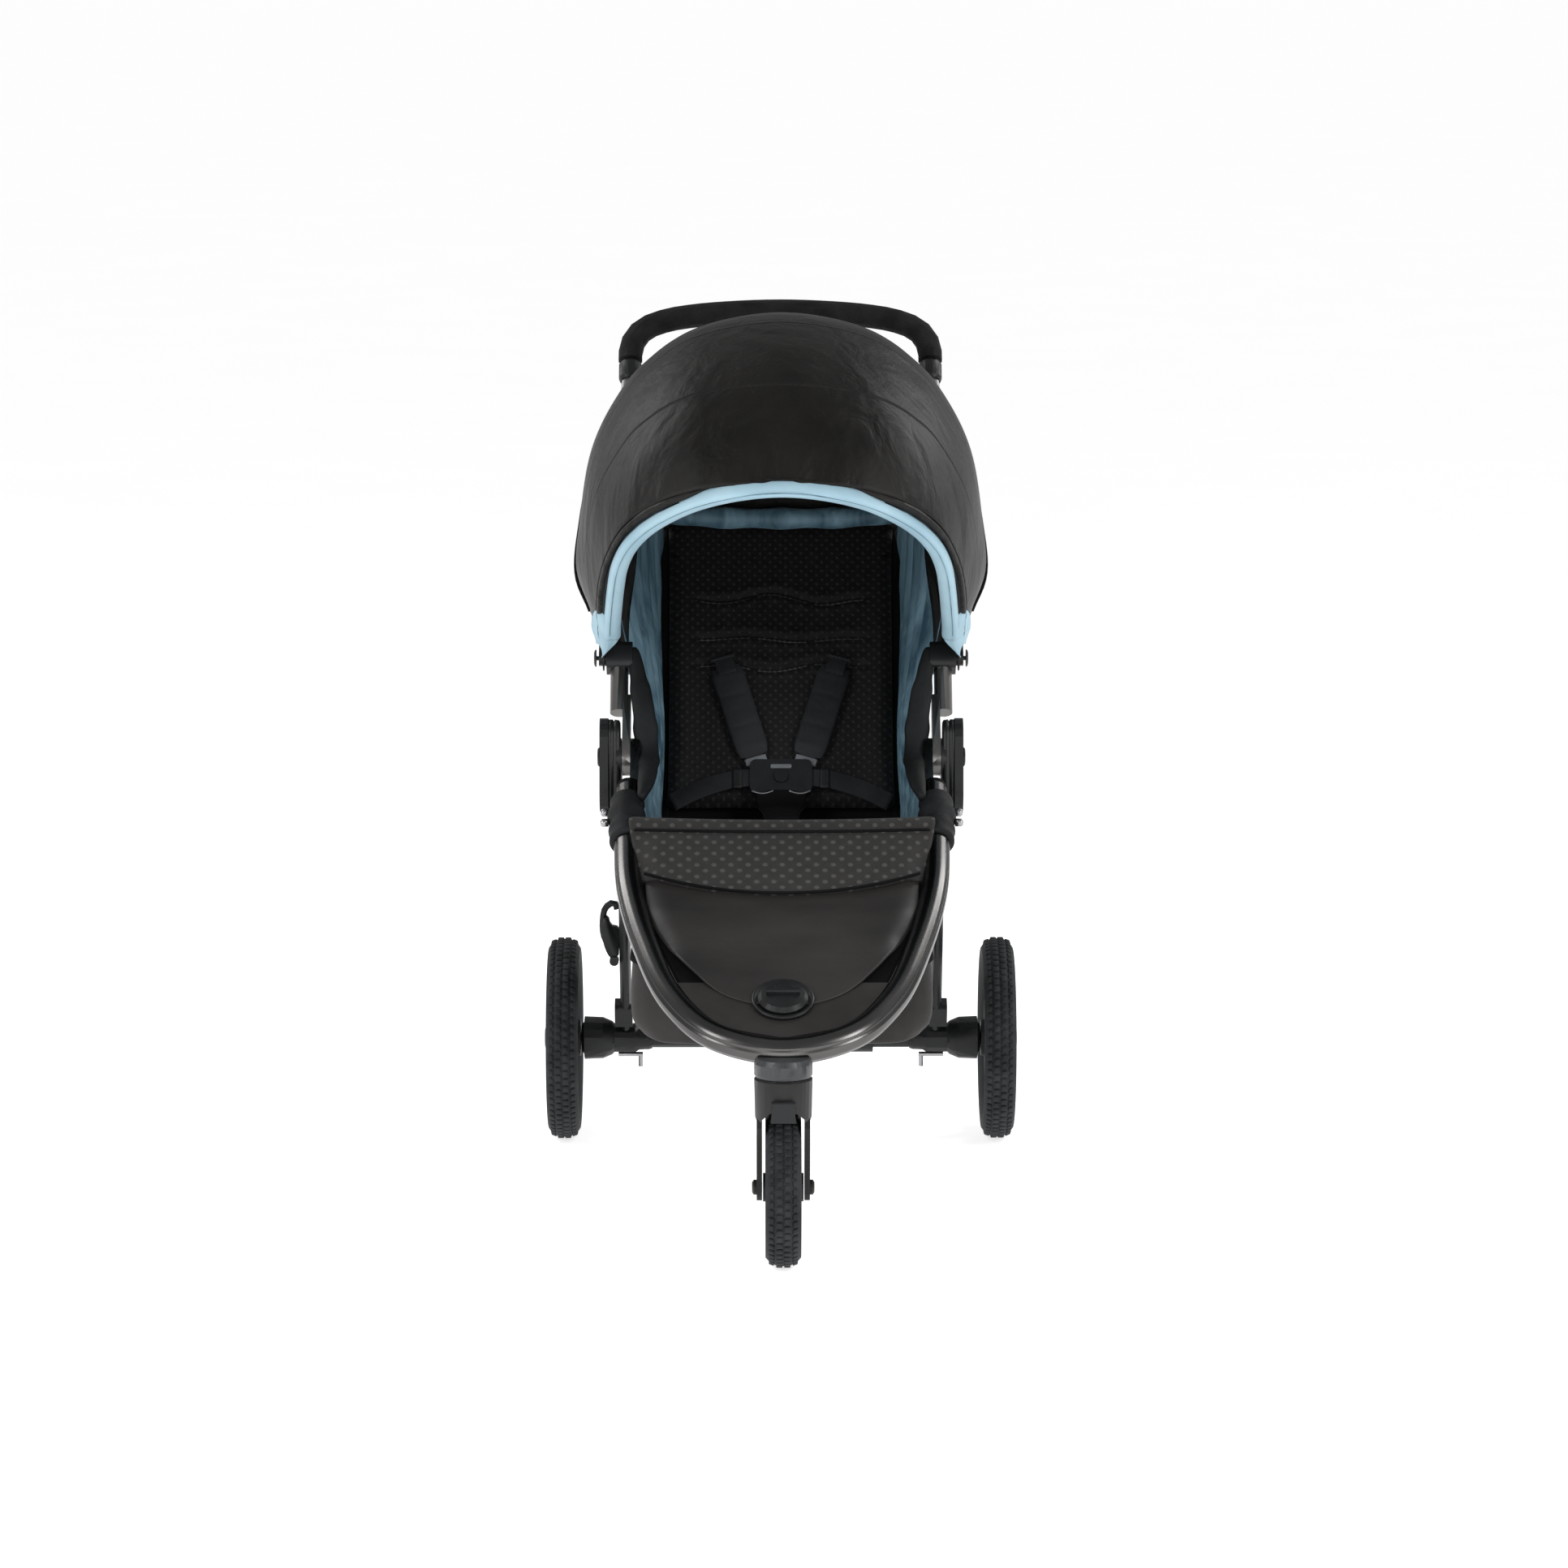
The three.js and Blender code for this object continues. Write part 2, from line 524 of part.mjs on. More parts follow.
// Closed sheet between two grids of points, indexed [station][step].
function shell(inner, outer) {
  const n = inner.length;
  const m = inner[0].length;
  const positions = [...inner.flat(), ...outer.flat()].flatMap((p) => [p.x, p.y, p.z]);
  const at = (layer, i, k) => layer * n * m + i * m + k;
  const tris = [];
  const quad = (a, b, c, d) => tris.push(a, b, c, a, c, d);
  for (let i = 0; i < n - 1; i++) {
    for (let k = 0; k < m - 1; k++) {
      quad(at(0, i, k), at(0, i, k + 1), at(0, i + 1, k + 1), at(0, i + 1, k));
      quad(at(1, i, k), at(1, i + 1, k), at(1, i + 1, k + 1), at(1, i, k + 1));
    }
    quad(at(0, i, 0), at(0, i + 1, 0), at(1, i + 1, 0), at(1, i, 0));
    quad(at(0, i + 1, m - 1), at(0, i, m - 1), at(1, i, m - 1), at(1, i + 1, m - 1));
  }
  for (let k = 0; k < m - 1; k++) {
    quad(at(0, 0, k + 1), at(0, 0, k), at(1, 0, k), at(1, 0, k + 1));
    quad(at(0, n - 1, k), at(0, n - 1, k + 1), at(1, n - 1, k + 1), at(1, n - 1, k));
  }
  return indexed(positions, tris);
}

// Cloth between two hoops, lying outside both.
function gore(a, b, from, to, inner, outer, steps) {
  const column = (h) => hoopPoints(h.list.slice(1), h.top, h.base, h.deg, 0, 26).slice(2, -2);
  const turn = (p, deg) => p.clone().sub(bracketAt).applyAxisAngle(X_AXIS, rad(deg));
  const [ca, cb] = [column(a), column(b)];
  const grid = (off) => ca.map((p, i) => Array.from({ length: steps + 1 }, (_, k) => {
    const t = k / steps;
    const deg = from + (b.deg + to - a.deg - from) * t;
    const q = turn(p, deg).lerp(turn(cb[i], deg + a.deg - b.deg), t);
    return q.addScaledVector(q.clone().normalize(), off).add(bracketAt);
  }));
  return shell(grid(inner), grid(outer));
}

add('canopy_rear_cloth', gore(HOOPS.rear, HOOPS.mid, 2, -1, 7, 9, 5), FABRIC, 0.6);
add('canopy_front_cloth', gore(HOOPS.mid, HOOPS.front, 1, -2, 7, 9, 6), FABRIC, 0.6);
add('canopy_front_band', gore(HOOPS.front, HOOPS.front, -1.4, 1.6, 8, 12, 2), BLUE, 0.8);

// Cloth wall that closes the canopy at the back, above the seat back.
const rearLow = new THREE.Vector3(0, 407.5, 785);
const rearUp = new THREE.Vector3(0, 386.5, 1033).sub(rearLow).normalize();
const REAR_PANEL = [[172, 0], [177, 110], [166, 165], [130, 210], [72, 236], [0, 244]];
add('canopy_rear_panel', slab(
  [...REAR_PANEL, ...REAR_PANEL.slice(0, -1).reverse().map(([x, h]) => [-x, h])],
  rearLow, X_AXIS, rearUp, -1.5, 1.5,
), FABRIC, 0.8);

// ---------------------------------------------------------------- seat
const creaseAt = new THREE.Vector3(0, CREASE.y, CREASE.z);
const onSeat = (s, x = 0, off = 0) => polar(CREASE, SEAT_DIR, s, x, -off);
const onBack = (s, x = 0, off = 0) => polar(CREASE, BACK_DIR, s, x, off);
const seatDir = new THREE.Vector3(0, Math.cos(rad(SEAT_DIR)), Math.sin(rad(SEAT_DIR)));
const backDir = new THREE.Vector3(0, Math.cos(rad(BACK_DIR)), Math.sin(rad(BACK_DIR)));
const RAIL_X = 165;

const railHalf = [
  onFront(150, 182, -27), onFront(170, 176, -33), onSeat(225, RAIL_X), onSeat(60, RAIL_X),
  onSeat(24, RAIL_X), onSeat(7, RAIL_X - 6), onSeat(0, RAIL_X - 22), onSeat(0, 126),
];
const railOther = [...railHalf].reverse().map((p) => p.clone().setX(-p.x));
add('seat_base_frame', sweep(
  [...spline(railHalf, 18), ...spline(railOther, 18)],
  planeNormal(SEAT_DIR).negate(), circle(8, 10),
), ALUMINIUM, 0.4, 0.8);

const panel = (w, from, to, r = 10) => roundRect(2 * w, to - from, r)
  .map(([u, v]) => [u, v + (from + to) / 2]);
add('seat_board', slab(panel(154, 114, 246), creaseAt, X_AXIS, seatDir, -3, 3), BLACK, 0.6);
add('seat_cushion', slab(panel(156, 17, 262, 24), creaseAt, X_AXIS, seatDir, -36, -8.6),
  FABRIC, 0.9);

// Sleeve that turns the seat back with the fold, and the reclining back on it.
add('seat_hinge_sleeve', combine(
  rod(12, -94, 94, X_AXIS, creaseAt, 24),
  [block(-30, 30, { y: CREASE.y + 12, z: CREASE.z - 8 }, 12, 7, 2, -35)],
  [rod(8.3, -200, 200, X_AXIS, creaseAt, 24)],
), BLACK, 0.5);
const lug = (x) => rod(12, x - 13, x + 13, X_AXIS, creaseAt, 24);
add('seat_back_board', combine(
  slab(panel(148, 26, BACK_LENGTH, 14), creaseAt, X_AXIS, backDir, -4, 4),
  [lug(110), lug(-110), ...[110, -110].map((x) => slab(
    [[x - 12, 8], [x + 12, 8], [x + 12, 34], [x - 12, 34]], creaseAt, X_AXIS, backDir, -4, 4))],
  [rod(8.3, -200, 200, X_AXIS, creaseAt, 24)],
), BLACK, 0.6);
add('seat_back_pad', slab(panel(154, 44, BACK_LENGTH + 4, 26), creaseAt, X_AXIS, backDir, 4.4, 31),
  FABRIC, 0.9);

// Cloth sides of the seat, between the handle frame and the seat.
const SIDE = [[67, 444], [209, 424], [423, 726], [401, 748], [295, 792], [115, 544], [69, 514]];
addPair('side_panel', slab(
  SIDE.map(([y, z]) => [y, z]), new THREE.Vector3(0, 0, 0), new THREE.Vector3(0, 1, 0), Z_AXIS,
  174.6, 177.4,
), BLUE, 0.8);

// Harness on the seat back.
const padSlant = new THREE.Vector3(0.36, 0, 0).add(backDir.clone().multiplyScalar(0.93)).normalize();
const padAcross = padSlant.clone().cross(planeNormal(BACK_DIR));
addPair('shoulder_pad', slab(panel(21, -66, 66, 12), onBack(178, 58), padAcross, padSlant,
  31.4, 41), FABRIC, 0.9);
add('harness_buckle', combine(
  slab(panel(40, 62, 108, 8), creaseAt, X_AXIS, backDir, 31.4, 44),
  [],
  [rod(9.4, 34, 60, planeNormal(BACK_DIR), onBack(84), 20)],
), BLACK, 0.4);
add('buckle_button', rod(9, 38.4, 46.5, planeNormal(BACK_DIR), onBack(84), 20), BLACK, 0.4);

// ---------------------------------------------------------------- storage basket
function tub(z0, z1, grow) {
  const ring = (w, y0, y1, z) => roundRect(2 * (w + grow), y1 - y0 + 2 * grow, 24 + grow)
    .map(([x, y]) => new THREE.Vector3(x, y + (y0 + y1) / 2, z));
  return loft([ring(176, -62, 220, z0), ring(182, -68, 226, z1)]);
}

add('storage_basket', combine(tub(184, 300, 0), [], [tub(187.5, 301, -3)]), FABRIC, 0.9);

export default group;
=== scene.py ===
"""Looks of the folding three-wheel jogging stroller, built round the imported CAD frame.

Metres, +Z up, front toward -Y. Sizes repeat the driving dimensions of the part.
"""

import math

import bpy
import numpy as np
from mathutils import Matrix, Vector, noise


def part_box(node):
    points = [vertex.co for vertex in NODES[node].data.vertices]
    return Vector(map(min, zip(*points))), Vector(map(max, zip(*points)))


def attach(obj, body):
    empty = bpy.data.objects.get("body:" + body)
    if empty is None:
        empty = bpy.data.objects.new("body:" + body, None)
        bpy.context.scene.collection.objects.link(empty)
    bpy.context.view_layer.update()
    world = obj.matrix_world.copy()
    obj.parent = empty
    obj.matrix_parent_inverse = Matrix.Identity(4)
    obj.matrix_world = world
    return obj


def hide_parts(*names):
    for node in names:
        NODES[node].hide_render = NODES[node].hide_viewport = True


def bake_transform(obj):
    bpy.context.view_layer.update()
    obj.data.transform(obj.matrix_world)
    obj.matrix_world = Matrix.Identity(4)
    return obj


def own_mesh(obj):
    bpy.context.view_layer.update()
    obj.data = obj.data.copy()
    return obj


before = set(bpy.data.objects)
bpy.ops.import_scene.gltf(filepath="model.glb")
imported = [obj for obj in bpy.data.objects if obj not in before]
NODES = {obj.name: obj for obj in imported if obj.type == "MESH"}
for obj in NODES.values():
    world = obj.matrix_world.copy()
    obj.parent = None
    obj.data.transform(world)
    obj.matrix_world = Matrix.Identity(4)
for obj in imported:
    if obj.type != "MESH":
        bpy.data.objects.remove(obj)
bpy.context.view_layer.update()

# ---------------------------------------------------------------- driving dimensions
PIVOT = (0.1075, 0.530)          # fold pivot, y and z
FRONT_DIR, UPPER_DIR = 207.0, 55.0
BRACKET = (0.1878, 0.6447)       # canopy pivot
REAR_HOOP, MID_HOOP, FRONT_HOOP = 64, 98, 139
CREASE = (0.2175, 0.392)         # seat hinge line
SEAT_DIR, BACK_DIR = 171.0, 58.6
REAR_WHEEL = (0.282, 0.2875, 0.131)     # centre of the right wheel, whose radius is its height
FRONT_WHEEL = (0.0, -0.4025, 0.095)
CLOTH = 0.0014                   # thickness of a cloth layer
SIDES = (("right", 1), ("left", -1))


def direction(deg):
    return Vector((0, math.cos(math.radians(deg)), math.sin(math.radians(deg))))


def normal(deg):
    return direction(deg + 90)


def polar(origin, deg, s, x=0.0, off=0.0):
    return Vector((x, *origin)) + direction(deg) * s + normal(deg) * off


def on_front(s, x=0.0, off=0.0):
    """Point on the plane of the front frame; off is toward the rider's side."""
    return polar(PIVOT, FRONT_DIR, s, x, -off)


def on_seat(s, x=0.0, off=0.0):
    return polar(CREASE, SEAT_DIR, s, x, -off)


def on_back(s, x=0.0, off=0.0):
    return polar(CREASE, BACK_DIR, s, x, off)


def on_upper(s, x=0.0, off=0.0):
    return polar(PIVOT, UPPER_DIR, s, x, off)


def fade(a, b, t):
    """Smooth step from 0 at a to 1 at b."""
    t = min(max((t - a) / (b - a), 0.0), 1.0)
    return t * t * (3 - 2 * t)


def lookup(t, table):
    """Value at t in a list of (t, value) pairs."""
    return float(np.interp(t, [p[0] for p in table], [p[1] for p in table]))


def span_points(p, steps=16):
    """Points on the middle span of four, by a centripetal spline."""
    k = [0.0]
    for i in range(3):
        k.append(k[-1] + max(float(np.linalg.norm(p[i + 1] - p[i])), 1e-9) ** 0.5)
    out = []
    for t in np.linspace(k[1], k[2], steps, endpoint=False):
        a = [(p[i] * (k[i + 1] - t) + p[i + 1] * (t - k[i])) / (k[i + 1] - k[i])
             for i in range(3)]
        b = [(a[i] * (k[i + 2] - t) + a[i + 1] * (t - k[i])) / (k[i + 2] - k[i])
             for i in range(2)]
        out.append((b[0] * (k[2] - t) + b[1] * (t - k[1])) / (k[2] - k[1]))
    return out


def curve(points, count):
    """Evenly spaced points along a smooth curve through the given ones."""
    p = np.array([tuple(q) for q in points], float)
    p = np.vstack([2 * p[0] - p[1], p, 2 * p[-1] - p[-2]])
    fine = []
    for i in range(len(p) - 3):
        fine += span_points(p[i:i + 4])
    fine = np.array([*fine, p[-2]])
    run = np.concatenate([[0], np.cumsum(np.linalg.norm(np.diff(fine, axis=0), axis=1))])
    want = np.linspace(0, run[-1], count)
    return [Vector([float(np.interp(w, run, fine[:, k])) for k in range(fine.shape[1])])
            for w in want]


def mirrored(points):
    """Points of one side, ending in the middle, with their mirror images after them."""
    return points + [Vector((-p.x, p.y, p.z)) for p in reversed(points[:-1])]


# ---------------------------------------------------------------- mesh helpers
def mesh_object(name, verts, faces, material):
    mesh = bpy.data.meshes.new(name)
    mesh.from_pydata([tuple(v) for v in verts], [], faces)
    mesh.materials.append(material)
    mesh.polygons.foreach_set("use_smooth", [True] * len(mesh.polygons))
    obj = bpy.data.objects.new(name, mesh)
    bpy.context.scene.collection.objects.link(obj)
    return obj


def grid_faces(count, width, looped=False):
    faces = []
    for i in range(count - 1):
        for k in range(width if looped else width - 1):
            a, b = i * width + k, i * width + (k + 1) % width
            faces.append((a, b, b + width, a + width))
    return faces


def loft(name, rings, material, levels=1):
    """Closed solid through rings of points, its ends capped."""
    width = len(rings[0])
    verts = [p for ring in rings for p in ring]
    faces = grid_faces(len(rings), width, looped=True)
    faces.append(tuple(reversed(range(width))))
    faces.append(tuple(range((len(rings) - 1) * width, len(rings) * width)))
    obj = mesh_object(name, verts, faces, material)
    fix_normals(obj)
    if levels:
        subdivide(obj, levels)
    return obj


def fix_normals(obj):
    bpy.context.view_layer.objects.active = obj
    obj.select_set(True)
    bpy.ops.object.mode_set(mode="EDIT")
    bpy.ops.mesh.select_all(action="SELECT")
    bpy.ops.mesh.normals_make_consistent(inside=False)
    bpy.ops.object.mode_set(mode="OBJECT")
    obj.select_set(False)


def subdivide(obj, levels):
    mod = obj.modifiers.new("smooth", "SUBSURF")
    mod.levels = mod.render_levels = levels


def thicken(obj, thick):
    """Thickness of a sheet, half on each side."""
    mod = obj.modifiers.new("thickness", "SOLIDIFY")
    mod.thickness = thick
    mod.offset = 0


def bevel(obj, width, segments=2):
    mod = obj.modifiers.new("edges", "BEVEL")
    mod.width = width
    mod.segments = segments
    mod.limit_method = "ANGLE"
    mod.angle_limit = math.radians(35)


def cloth(name, rows, material, levels=1, thick=CLOTH):
    """One layer of cloth from a grid of points."""
    obj = mesh_object(name, [p for row in rows for p in row],
                      grid_faces(len(rows), len(rows[0])), material)
    if levels:
        subdivide(obj, levels)
    thicken(obj, thick)
    return obj


def circle(r, count=12):
    return [(r * math.cos(a), r * math.sin(a))
            for a in (2 * math.pi * (i + 0.5) / count for i in range(count))]


def round_rect(w, h, r, steps=3):
    out = []
    for cx, cy, a0 in ((1, 1, 0), (-1, 1, 90), (-1, -1, 180), (1, -1, 270)):
        for i in range(steps + 1):
            a = math.radians(a0 + 90 * i / steps)
            out.append((cx * (w / 2 - r) + r * math.cos(a), cy * (h / 2 - r) + r * math.sin(a)))
    return out


def sweep(name, points, profile, side, material, levels=0):
    """Profile carried along points: its first axis is side, its second crosses side and path.

    The profile and side may be functions of the share of the path.
    """
    rings = []
    last = len(points) - 1
    for i, p in enumerate(points):
        share = i / last
        tangent = (points[min(i + 1, last)] - points[max(i - 1, 0)]).normalized()
        across = side(share) if callable(side) else side
        n = across.cross(tangent).normalized()
        s = tangent.cross(n).normalized()
        outline = profile(share) if callable(profile) else profile
        rings.append([p + s * u + n * v for u, v in outline])
    return loft(name, rings, material, levels)


def strap(name, points, width, side, material, thick=0.0022, count=24):
    """Flat webbing with rounded edges."""
    return sweep(name, curve(points, count), round_rect(width, thick, thick * 0.45, 2), side,
                 material)


def turned(name, pairs, axis, at, material, count=28):
    """Revolved solid from (radius, position) pairs about an axis through at."""
    axis = axis.normalized()
    u = axis.orthogonal().normalized()
    v = axis.cross(u)
    rings = [[at + axis * h + u * a + v * b for a, b in circle(r, count)] for r, h in pairs]
    return loft(name, rings, material, 0)


def apply_modifiers(obj):
    graph = bpy.context.evaluated_depsgraph_get()
    mesh = bpy.data.meshes.new_from_object(obj.evaluated_get(graph))
    obj.modifiers.clear()
    obj.data = mesh
    mesh.polygons.foreach_set("use_smooth", [True] * len(mesh.polygons))


CLOTH_FRAMES = 20


def inflate(obj, cap, voxel=0.005, pressure=4.0):
    """Puffs a closed pad up with the cloth solver; no point moves further than cap."""
    remesh = obj.modifiers.new("remesh", "REMESH")
    remesh.mode = "VOXEL"
    remesh.voxel_size = voxel
    apply_modifiers(obj)
    rest = coordinates(obj)
    mod = obj.modifiers.new("cloth", "CLOTH")
    mod.settings.use_pressure = True
    mod.settings.uniform_pressure_force = pressure
    mod.settings.effector_weights.gravity = 0
    mod.point_cache.frame_start = 1
    mod.point_cache.frame_end = CLOTH_FRAMES
    for step in range(1, CLOTH_FRAMES + 1):
        bpy.context.scene.frame_set(step)
    apply_modifiers(obj)
    bpy.context.scene.frame_set(1)
    moved = coordinates(obj) - rest
    length = np.linalg.norm(moved, axis=1)[:, None]
    set_coordinates(obj, rest + moved * np.minimum(1, cap / np.maximum(length, 1e-9)))
    subdivide(obj, 1)
    apply_modifiers(obj)


def coordinates(obj):
    co = np.zeros(len(obj.data.vertices) * 3, np.float32)
    obj.data.vertices.foreach_get("co", co)
    return co.reshape(-1, 3).astype(float)


def set_coordinates(obj, co):
    obj.data.vertices.foreach_set("co", co.astype(np.float32).ravel())
    obj.data.update()


def push(obj, face, amount):
    """Moves the points that look toward face by amount(point), along face."""
    face = face.normalized()
    co = coordinates(obj)
    for v in obj.data.vertices:
        share = fade(0.1, 0.7, v.normal.dot(face))
        if share > 0:
            co[v.index] += np.array(face) * amount(v.co) * share
    set_coordinates(obj, co)


def pad(name, place, half, start, end, low, high, corner, material, soft=0.006):
    """Closed cushion blank between offsets low and high of a plane given by place(s, x, off)."""
    rings = []
    for off, inset in ((low, soft), (low + (high - low) * 0.3, 0), (low + (high - low) * 0.7, 0),
                       (high, soft)):
        outline = round_rect(2 * (half - inset), end - start - 2 * inset, corner - inset * 0.5, 5)
        rings.append([place((start + end) / 2 + v, u, off) for u, v in outline])
    return loft(name, rings, material, 0)


# ---------------------------------------------------------------- materials
class Look:
    """A Principled material under construction."""

    def __init__(self, name, rough=0.5, metallic=0.0, specular=0.5, sheen=0.0, coat=0.0):
        self.material = bpy.data.materials.new(name)
        self.material.use_nodes = True
        self.tree = self.material.node_tree
        self.shader = self.tree.nodes["Principled BSDF"]
        self.set("Roughness", rough)
        self.set("Metallic", metallic)
        self.set("Specular IOR Level", specular)
        self.set("Sheen Weight", sheen)
        self.set("Coat Weight", coat)
        self.place = self.node("ShaderNodeTexCoord").outputs["Object"]
        self.normal = None

    def set(self, socket, value):
        self.shader.inputs[socket].default_value = value

    def node(self, kind, **settings):
        made = self.tree.nodes.new(kind)
        for key, value in settings.items():
            if key in made.inputs.keys():
                self.feed(value, made.inputs[key])
            else:
                setattr(made, key, value)
        return made

    def feed(self, value, socket):
        if isinstance(value, bpy.types.NodeSocket):
            self.tree.links.new(value, socket)
        else:
            socket.default_value = value

    def math(self, operation, a, b=0.0):
        made = self.node("ShaderNodeMath", operation=operation)
        self.feed(a, made.inputs[0])
        self.feed(b, made.inputs[1])
        return made.outputs[0]

    def noise(self, scale, detail=3.0, stretch=(1, 1, 1), distortion=0.0):
        moved = self.node("ShaderNodeMapping", Vector=self.place, Scale=stretch)
        made = self.node("ShaderNodeTexNoise", Vector=moved.outputs[0], Scale=scale,
                         Detail=detail, Distortion=distortion)
        return made.outputs[0]

    def blend_colours(self, share, dark, light, low=0.35, high=0.65):
        ramp = self.node("ShaderNodeValToRGB", Fac=share)
        ramp.color_ramp.elements[0].position = low
        ramp.color_ramp.elements[0].color = (*dark, 1)
        ramp.color_ramp.elements[1].position = high
        ramp.color_ramp.elements[1].color = (*light, 1)
        return ramp.outputs[0]

    def colour(self, socket):
        self.feed(socket, self.shader.inputs["Base Color"])

    def rough_between(self, share, low, high):
        span = self.node("ShaderNodeMapRange")
        self.feed(share, span.inputs[0])
        span.inputs["To Min"].default_value = low
        span.inputs["To Max"].default_value = high
        self.feed(span.outputs[0], self.shader.inputs["Roughness"])

    def bump(self, height, distance, strength=1.0):
        made = self.node("ShaderNodeBump", Height=height, Distance=distance, Strength=strength)
        if self.normal is not None:
            self.feed(self.normal, made.inputs["Normal"])
        self.normal = made.outputs[0]
        self.feed(self.normal, self.shader.inputs["Normal"])

    def threads(self, pitch):
        """Height of a plain weave with threads of that pitch along all three axes."""
        waves = []
        for axis in ("X", "Y", "Z"):
            wave = self.node("ShaderNodeTexWave", Vector=self.place, bands_direction=axis,
                             Scale=0.314 / pitch)
            waves.append(wave.outputs["Fac"])
        total = self.math("ADD", waves[0], self.math("ADD", waves[1], waves[2]))
        return self.math("MULTIPLY", total, 0.333)

    def dots(self, deg, across, along, radius):
        """Staggered raised dots on a plane that contains X and the given direction."""
        turned_place = self.node("ShaderNodeMapping", Vector=self.place,
                                 Rotation=(-math.radians(deg), 0, 0)).outputs[0]
        axes = self.node("ShaderNodeSeparateXYZ", Vector=turned_place).outputs
        v = self.math("DIVIDE", axes["Y"], along)
        row = self.math("FLOOR", v)
        shift = self.math("MULTIPLY", self.math("FLOORED_MODULO", row, 2.0), 0.5)
        u = self.math("ADD", self.math("DIVIDE", axes["X"], across), shift)
        du = self.math("MULTIPLY", self.math("SUBTRACT", self.math("FRACT", u), 0.5), across)
        dv = self.math("MULTIPLY", self.math("SUBTRACT", self.math("FRACT", v), 0.5), along)
        far = self.math("SQRT", self.math("ADD", self.math("POWER", self.math("ABSOLUTE", du), 2),
                                          self.math("POWER", self.math("ABSOLUTE", dv), 2)))
        span = self.node("ShaderNodeMapRange", interpolation_type="SMOOTHSTEP")
        self.feed(far, span.inputs[0])
        span.inputs["From Min"].default_value = radius * 1.3
        span.inputs["From Max"].default_value = radius * 0.5
        return span.outputs[0]


def woven(name, dark, light, rough=0.8, pitch=0.0008, crease=0.0, specular=0.25, sheen=0.05):
    """Cloth: a weave, slow colour changes and, where asked, shallow creases."""
    look = Look(name, rough, specular=specular, sheen=sheen)
    slow = look.noise(11, 4)
    look.colour(look.blend_colours(slow, dark, light))
    look.rough_between(slow, rough - 0.08, rough + 0.08)
    look.bump(look.threads(pitch), pitch * 0.3, 0.5)
    if crease:
        look.bump(look.noise(24, 5, (1, 1, 0.45), 0.6), crease, 0.8)
    return look


def crumpled_nylon():
    """Thin coated nylon with soft crumples of several sizes."""
    look = woven("canopy_nylon", (0.0052, 0.0047, 0.0043), (0.010, 0.0092, 0.0085), 0.40, 0.0006,
                 crease=0.005, specular=0.17, sheen=0.0)
    look.bump(look.noise(7, 4, (1, 1, 0.35), 1.2), 0.014, 0.55)
    return look.material


def hanging_cloth():
    """Blue lining with folds that run downward. Its colour is the trim's blue made darker as
    painted shade, and the fold pattern paints the hollows darker and the crests lighter as painted
    shade and highlight.
    """
    look = Look("lining_blue_shaded", 0.5, specular=0.35, sheen=0.05)
    fold_relief_and_shade = look.noise(34, 3, (1, 1, 0.10), 0.5)
    # painted shade and highlight: the fold pattern darkens the colour in the fold hollows and
    # lightens it on the crests; it also drives the roughness and the fold bumps
    look.colour(look.blend_colours(fold_relief_and_shade, (0.030, 0.075, 0.110), (0.180, 0.310, 0.390), 0.30, 0.72))
    look.rough_between(fold_relief_and_shade, 0.42, 0.6)
    look.bump(look.threads(0.0006), 0.0002, 0.5)
    look.bump(fold_relief_and_shade, 0.006, 0.9)
    return look.material


def coated_cloth():
    """Smooth coated cloth with faint creases across it."""
    look = Look("calf_vinyl", 0.46, specular=0.28)
    slow = look.noise(9, 4, (0.5, 1, 1))
    look.colour(look.blend_colours(slow, (0.019, 0.0175, 0.0168), (0.031, 0.0290, 0.0275)))
    look.rough_between(slow, 0.40, 0.54)
    look.bump(look.noise(500, 2), 0.0001, 0.3)
    look.bump(look.noise(16, 4, (0.16, 1, 1), 0.4), 0.004, 0.6)
    return look.material


def quilted(name, dark, light, deg, across, along, radius, raised):
    look = Look(name, 0.72, specular=0.3, sheen=0.05)
    dots = look.dots(deg, across, along, radius)
    fine = look.noise(60, 3)
    # painted highlight: the raised dots are coloured lighter than the cloth round them; the fine
    # noise adds random grain
    dot_highlight_and_grain = look.math("ADD", look.math("MULTIPLY", dots, 0.75), look.math("MULTIPLY", fine, 0.25))
    look.colour(look.blend_colours(dot_highlight_and_grain, dark, light, 0.1, 0.9))
    look.bump(look.threads(0.0009), 0.0003, 0.5)
    look.bump(dots, raised, 1.0)
    return look.material


def metal(name, dark, light, rough, grain=0.4):
    look = Look(name, rough, metallic=1.0)
    look.colour(look.blend_colours(look.noise(7, 3), dark, light))
    brushed = look.noise(420, 2, (1, 0.05, 0.05))
    look.rough_between(brushed, rough - 0.04, rough + 0.05)
    look.bump(brushed, 0.00002, grain)
    return look.material


def anodised_tube():
    """Smooth dark anodised aluminium with slow colour changes."""
    look = Look("anodised_dark", 0.25, metallic=1.0)
    slow = look.noise(7, 3)
    look.colour(look.blend_colours(slow, (0.080, 0.078, 0.077), (0.115, 0.112, 0.110)))
    look.rough_between(slow, 0.22, 0.29)
    look.bump(look.noise(50, 2), 0.00005, 0.15)
    return look.material


def moulded(name, dark, light, rough=0.42, grain=900, specular=0.45):
    look = Look(name, rough, specular=specular)
    slow = look.noise(16, 3)
    look.colour(look.blend_colours(slow, dark, light))
    look.rough_between(slow, rough - 0.05, rough + 0.07)
    look.bump(look.noise(grain, 2), 0.0001, 0.3)
    return look.material


